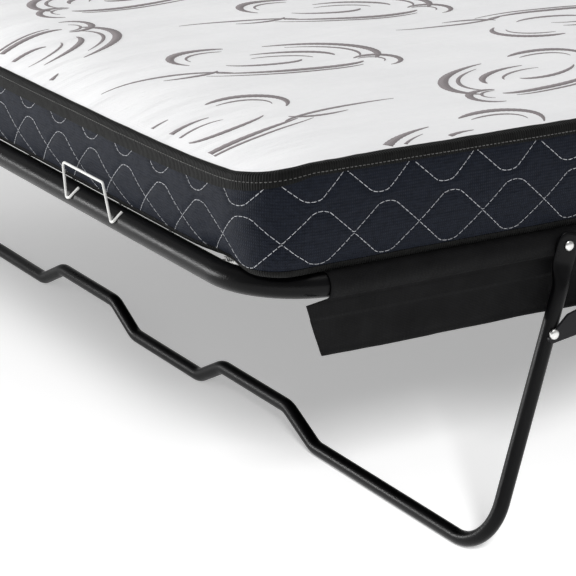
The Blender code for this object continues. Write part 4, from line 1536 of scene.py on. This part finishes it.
print("springs made:", 2 * SPRING_COUNT, "with", TURNS, "turns each")

# %% [markdown]
# ## Cross tubes and the centre stand
# Straight tubes are turned shapes whose ends flare into a weld bead where they meet another part. The two
# bent tubes of the stand carry a boss over each caster. Each takes its place and length from the frame's
# own solid.

# %% Cross tubes and stand tubes
CROSSBAR_RADIUS = 0.0095
RIVET_RADIUS = 0.003
PIN_RADIUS = 0.004


def weld_profile(radius, length, bead=0.0016):
    """Radius and distance along a tube that has a rounded weld bead at each end."""
    half = [
        (radius * 0.5, 0.0),
        (radius + bead * 0.6, 0.0),
        (radius + bead, bead * 0.7),
        (radius + bead * 0.8, bead * 1.8),
    ]
    half += [(radius + bead * 0.2, bead * 2.6), (radius, bead * 3.2)]
    return half + [(r, length - along) for r, along in half[::-1]]


def cross_tube(node_name, body, radius):
    """A straight tube across the bed, welded at both ends."""
    low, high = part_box(node_name)
    centre = Vector(((low.x + high.x) / 2, low.y, (low.z + high.z) / 2))
    shape = Shape()
    shape.rings(lathe_rings(weld_profile(radius - 0.0001, high.y - low.y), centre, (0, 1, 0)))
    settle(shape.piece(f"{node_name}_tube", black_coat), body, "black_coat", node_name)


for end in ENDS:
    cross_tube(f"{end}_crossbar", f"{end}_deck", CROSSBAR_RADIUS)
    cross_tube(f"{end}_hinge_crossbar", f"{end}_deck", CROSSBAR_RADIUS)
support_low, support_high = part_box("centre_support_tube")
cross_tube("centre_support_tube", "centre_stand", (support_high.z - support_low.z) / 2)

STAND_RADIUS = 0.011
STAND_BOSS = 0.009
STAND_BAR_Z = 0.092
STAND_CORNER = 0.060
CASTER_Y = 0.560
for end in ENDS:
    node_name = f"stand_tube_{end}_side"
    low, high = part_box(node_name)
    x, y = (low.x + high.x) / 2, high.y - STAND_RADIUS
    corners = [(x, -y, high.z), (x, -y, STAND_BAR_Z), (x, y, STAND_BAR_Z), (x, y, high.z)]
    shape = Shape()
    shape.rings(
        open_tube(
            filleted(corners, [STAND_CORNER, STAND_CORNER], radians(4)),
            STAND_RADIUS,
            first_normal=(1, 0, 0),
        )
    )
    for side in SIDES.values():
        profile = [
            (0.0006, 0),
            (STAND_BOSS - 0.001, 0),
            (STAND_BOSS, 0.001),
            (STAND_BOSS, 0.0050),
            (STAND_BOSS + 0.0012, 0.0075),
            (0.004, 0.012),
        ]
        shape.rings(lathe_rings(profile, (x, side * CASTER_Y, low.z), (0, 0, 1)))
    settle(shape.piece(f"{node_name}_bent", black_coat), "centre_stand", "black_coat", node_name)
print("cross tubes and stand tubes made")

# %% [markdown]
# ## Rivets and pins
# Each is turned from one profile: a domed head, a shank through the holes, and a second domed head. Length,
# head size and place all come from the frame's solid.

# %% Rivets and pins
def domed_pin(node_name, body, shank, head_high=0.0024):
    """A rivet or pin with a domed head at each end."""
    low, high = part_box(node_name)
    radius, length = (high.z - low.z) / 2, high.y - low.y
    dome = [(0.42, 0.06), (0.72, 0.22), (0.90, 0.46), (0.99, 0.78), (1.0, 0.96)]
    head = [(radius * part, head_high * along) for part, along in dome]
    half = [(0.0004, 0.0)] + head + [(shank, head_high)]
    profile = half + [(r, length - along) for r, along in half[::-1]]
    centre = Vector(((low.x + high.x) / 2, low.y, (low.z + high.z) / 2))
    shape = Shape()
    shape.rings(lathe_rings(profile, centre, (0, 1, 0)))
    settle(shape.piece(f"{node_name}_domed", zinc, sharp=50), body, "zinc", node_name)


for end in ENDS:
    for side_name in SIDES:
        domed_pin(f"{end}_leg_rivet_{side_name}", f"{end}_deck", RIVET_RADIUS)
        domed_pin(f"{end}_strut_rivet_{side_name}", f"{end}_struts", RIVET_RADIUS)
        domed_pin(f"{end}_hinge_pin_{side_name}", "centre_stand", PIN_RADIUS)
        domed_pin(f"{end}_strut_pin_{side_name}", "centre_stand", PIN_RADIUS)
print("rivets and pins made: 16")

# %% [markdown]
# ## Casters
# The wheel is turned, with a rounded tread, a step and a hub. The fork and the axle keep the frame's
# solids, with their edges rounded by a bevel. So do the flat struts and brackets, whose bevel is given a
# lighter coat as a painted highlight.

# %% Caster wheels and finished frame solids
WHEEL = (
    (0.0034, 0.0006),
    (0.0080, 0.0006),
    (0.0088, 0.0018),
    (0.0200, 0.0022),
    (0.0212, 0.0008),
    (0.0245, 0.0002),
    (0.0266, 0.0022),
    (0.0273, 0.0060),
)
for end in ENDS:
    for side_name in SIDES:
        node_name = f"{end}_caster_{side_name}_wheel"
        low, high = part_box(node_name)
        centre = Vector(((low.x + high.x) / 2, low.y, (low.z + high.z) / 2))
        wide = high.y - low.y
        profile = list(WHEEL) + [(0.0275, wide / 2)] + [(r, wide - along) for r, along in WHEEL[::-1]]
        rings = lathe_rings(profile, centre, (0, 1, 0), 48)
        shape = Shape()
        shape.rings(rings + [rings[0]], close_ends=False)
        settle(
            shape.piece(f"{node_name}_turned", rubber, sharp=30),
            f"{end}_caster_{side_name}_roller",
            "caster_rubber",
            node_name,
        )


def finish_solid(node_name, finish, edge_finish, edge=0.0005, smooth=30):
    """Keep a solid of the frame, with its own procedural finish and slightly rounded edges."""
    solid = nodes[node_name]
    solid.data.materials.clear()
    solid.data.materials.append(finish)
    solid.data.materials.append(edge_finish)
    bevel = solid.modifiers.new("rounded edges", "BEVEL")
    bevel.width = edge
    bevel.segments = 2
    bevel.limit_method = "ANGLE"
    bevel.angle_limit = radians(smooth)
    # The bevel's faces take the edge finish; on the struts and brackets that is a painted highlight.
    bevel.material = 1


# Struts and brackets get the lighter edge coat, a painted highlight; forks and axles stay plain zinc.
for end in ENDS:
    for side_name in SIDES:
        finish_solid(f"{end}_strut_{side_name}", plate_coat, painted_highlight_edge)
        finish_solid(f"{end}_caster_{side_name}_fork", zinc, zinc)
        finish_solid(f"{end}_caster_{side_name}_axle", zinc, zinc, 0.0004)
for side_name in SIDES:
    finish_solid(f"centre_bracket_{side_name}", plate_coat, painted_highlight_edge)
print("solids kept from the frame:", sum(1 for n in nodes.values() if n.modifiers))

# %% [markdown]
# ## The mattress pieces in place
# The mattress bends over both hinges when the bed folds. Here each piece only has its placement baked into
# its points. The foot half also stands for the plain block in the middle.


def bend_with(piece):
    """Bake the piece's placement into its points."""
    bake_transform(piece)


for end, piece in covers.items():
    bend_with(piece)
    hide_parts(f"{end}_mattress", *(["centre_mattress"] if end == "foot" else []))
for name, piece in {**tapes, **threads, **flourishes}.items():
    bend_with(piece)
print("mattress pieces:", 2 + len(tapes) + len(threads) + len(flourishes))

# %% [markdown]
# ## Size
# The finished bed has to keep the frame's size, so its box is measured.

low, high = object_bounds()
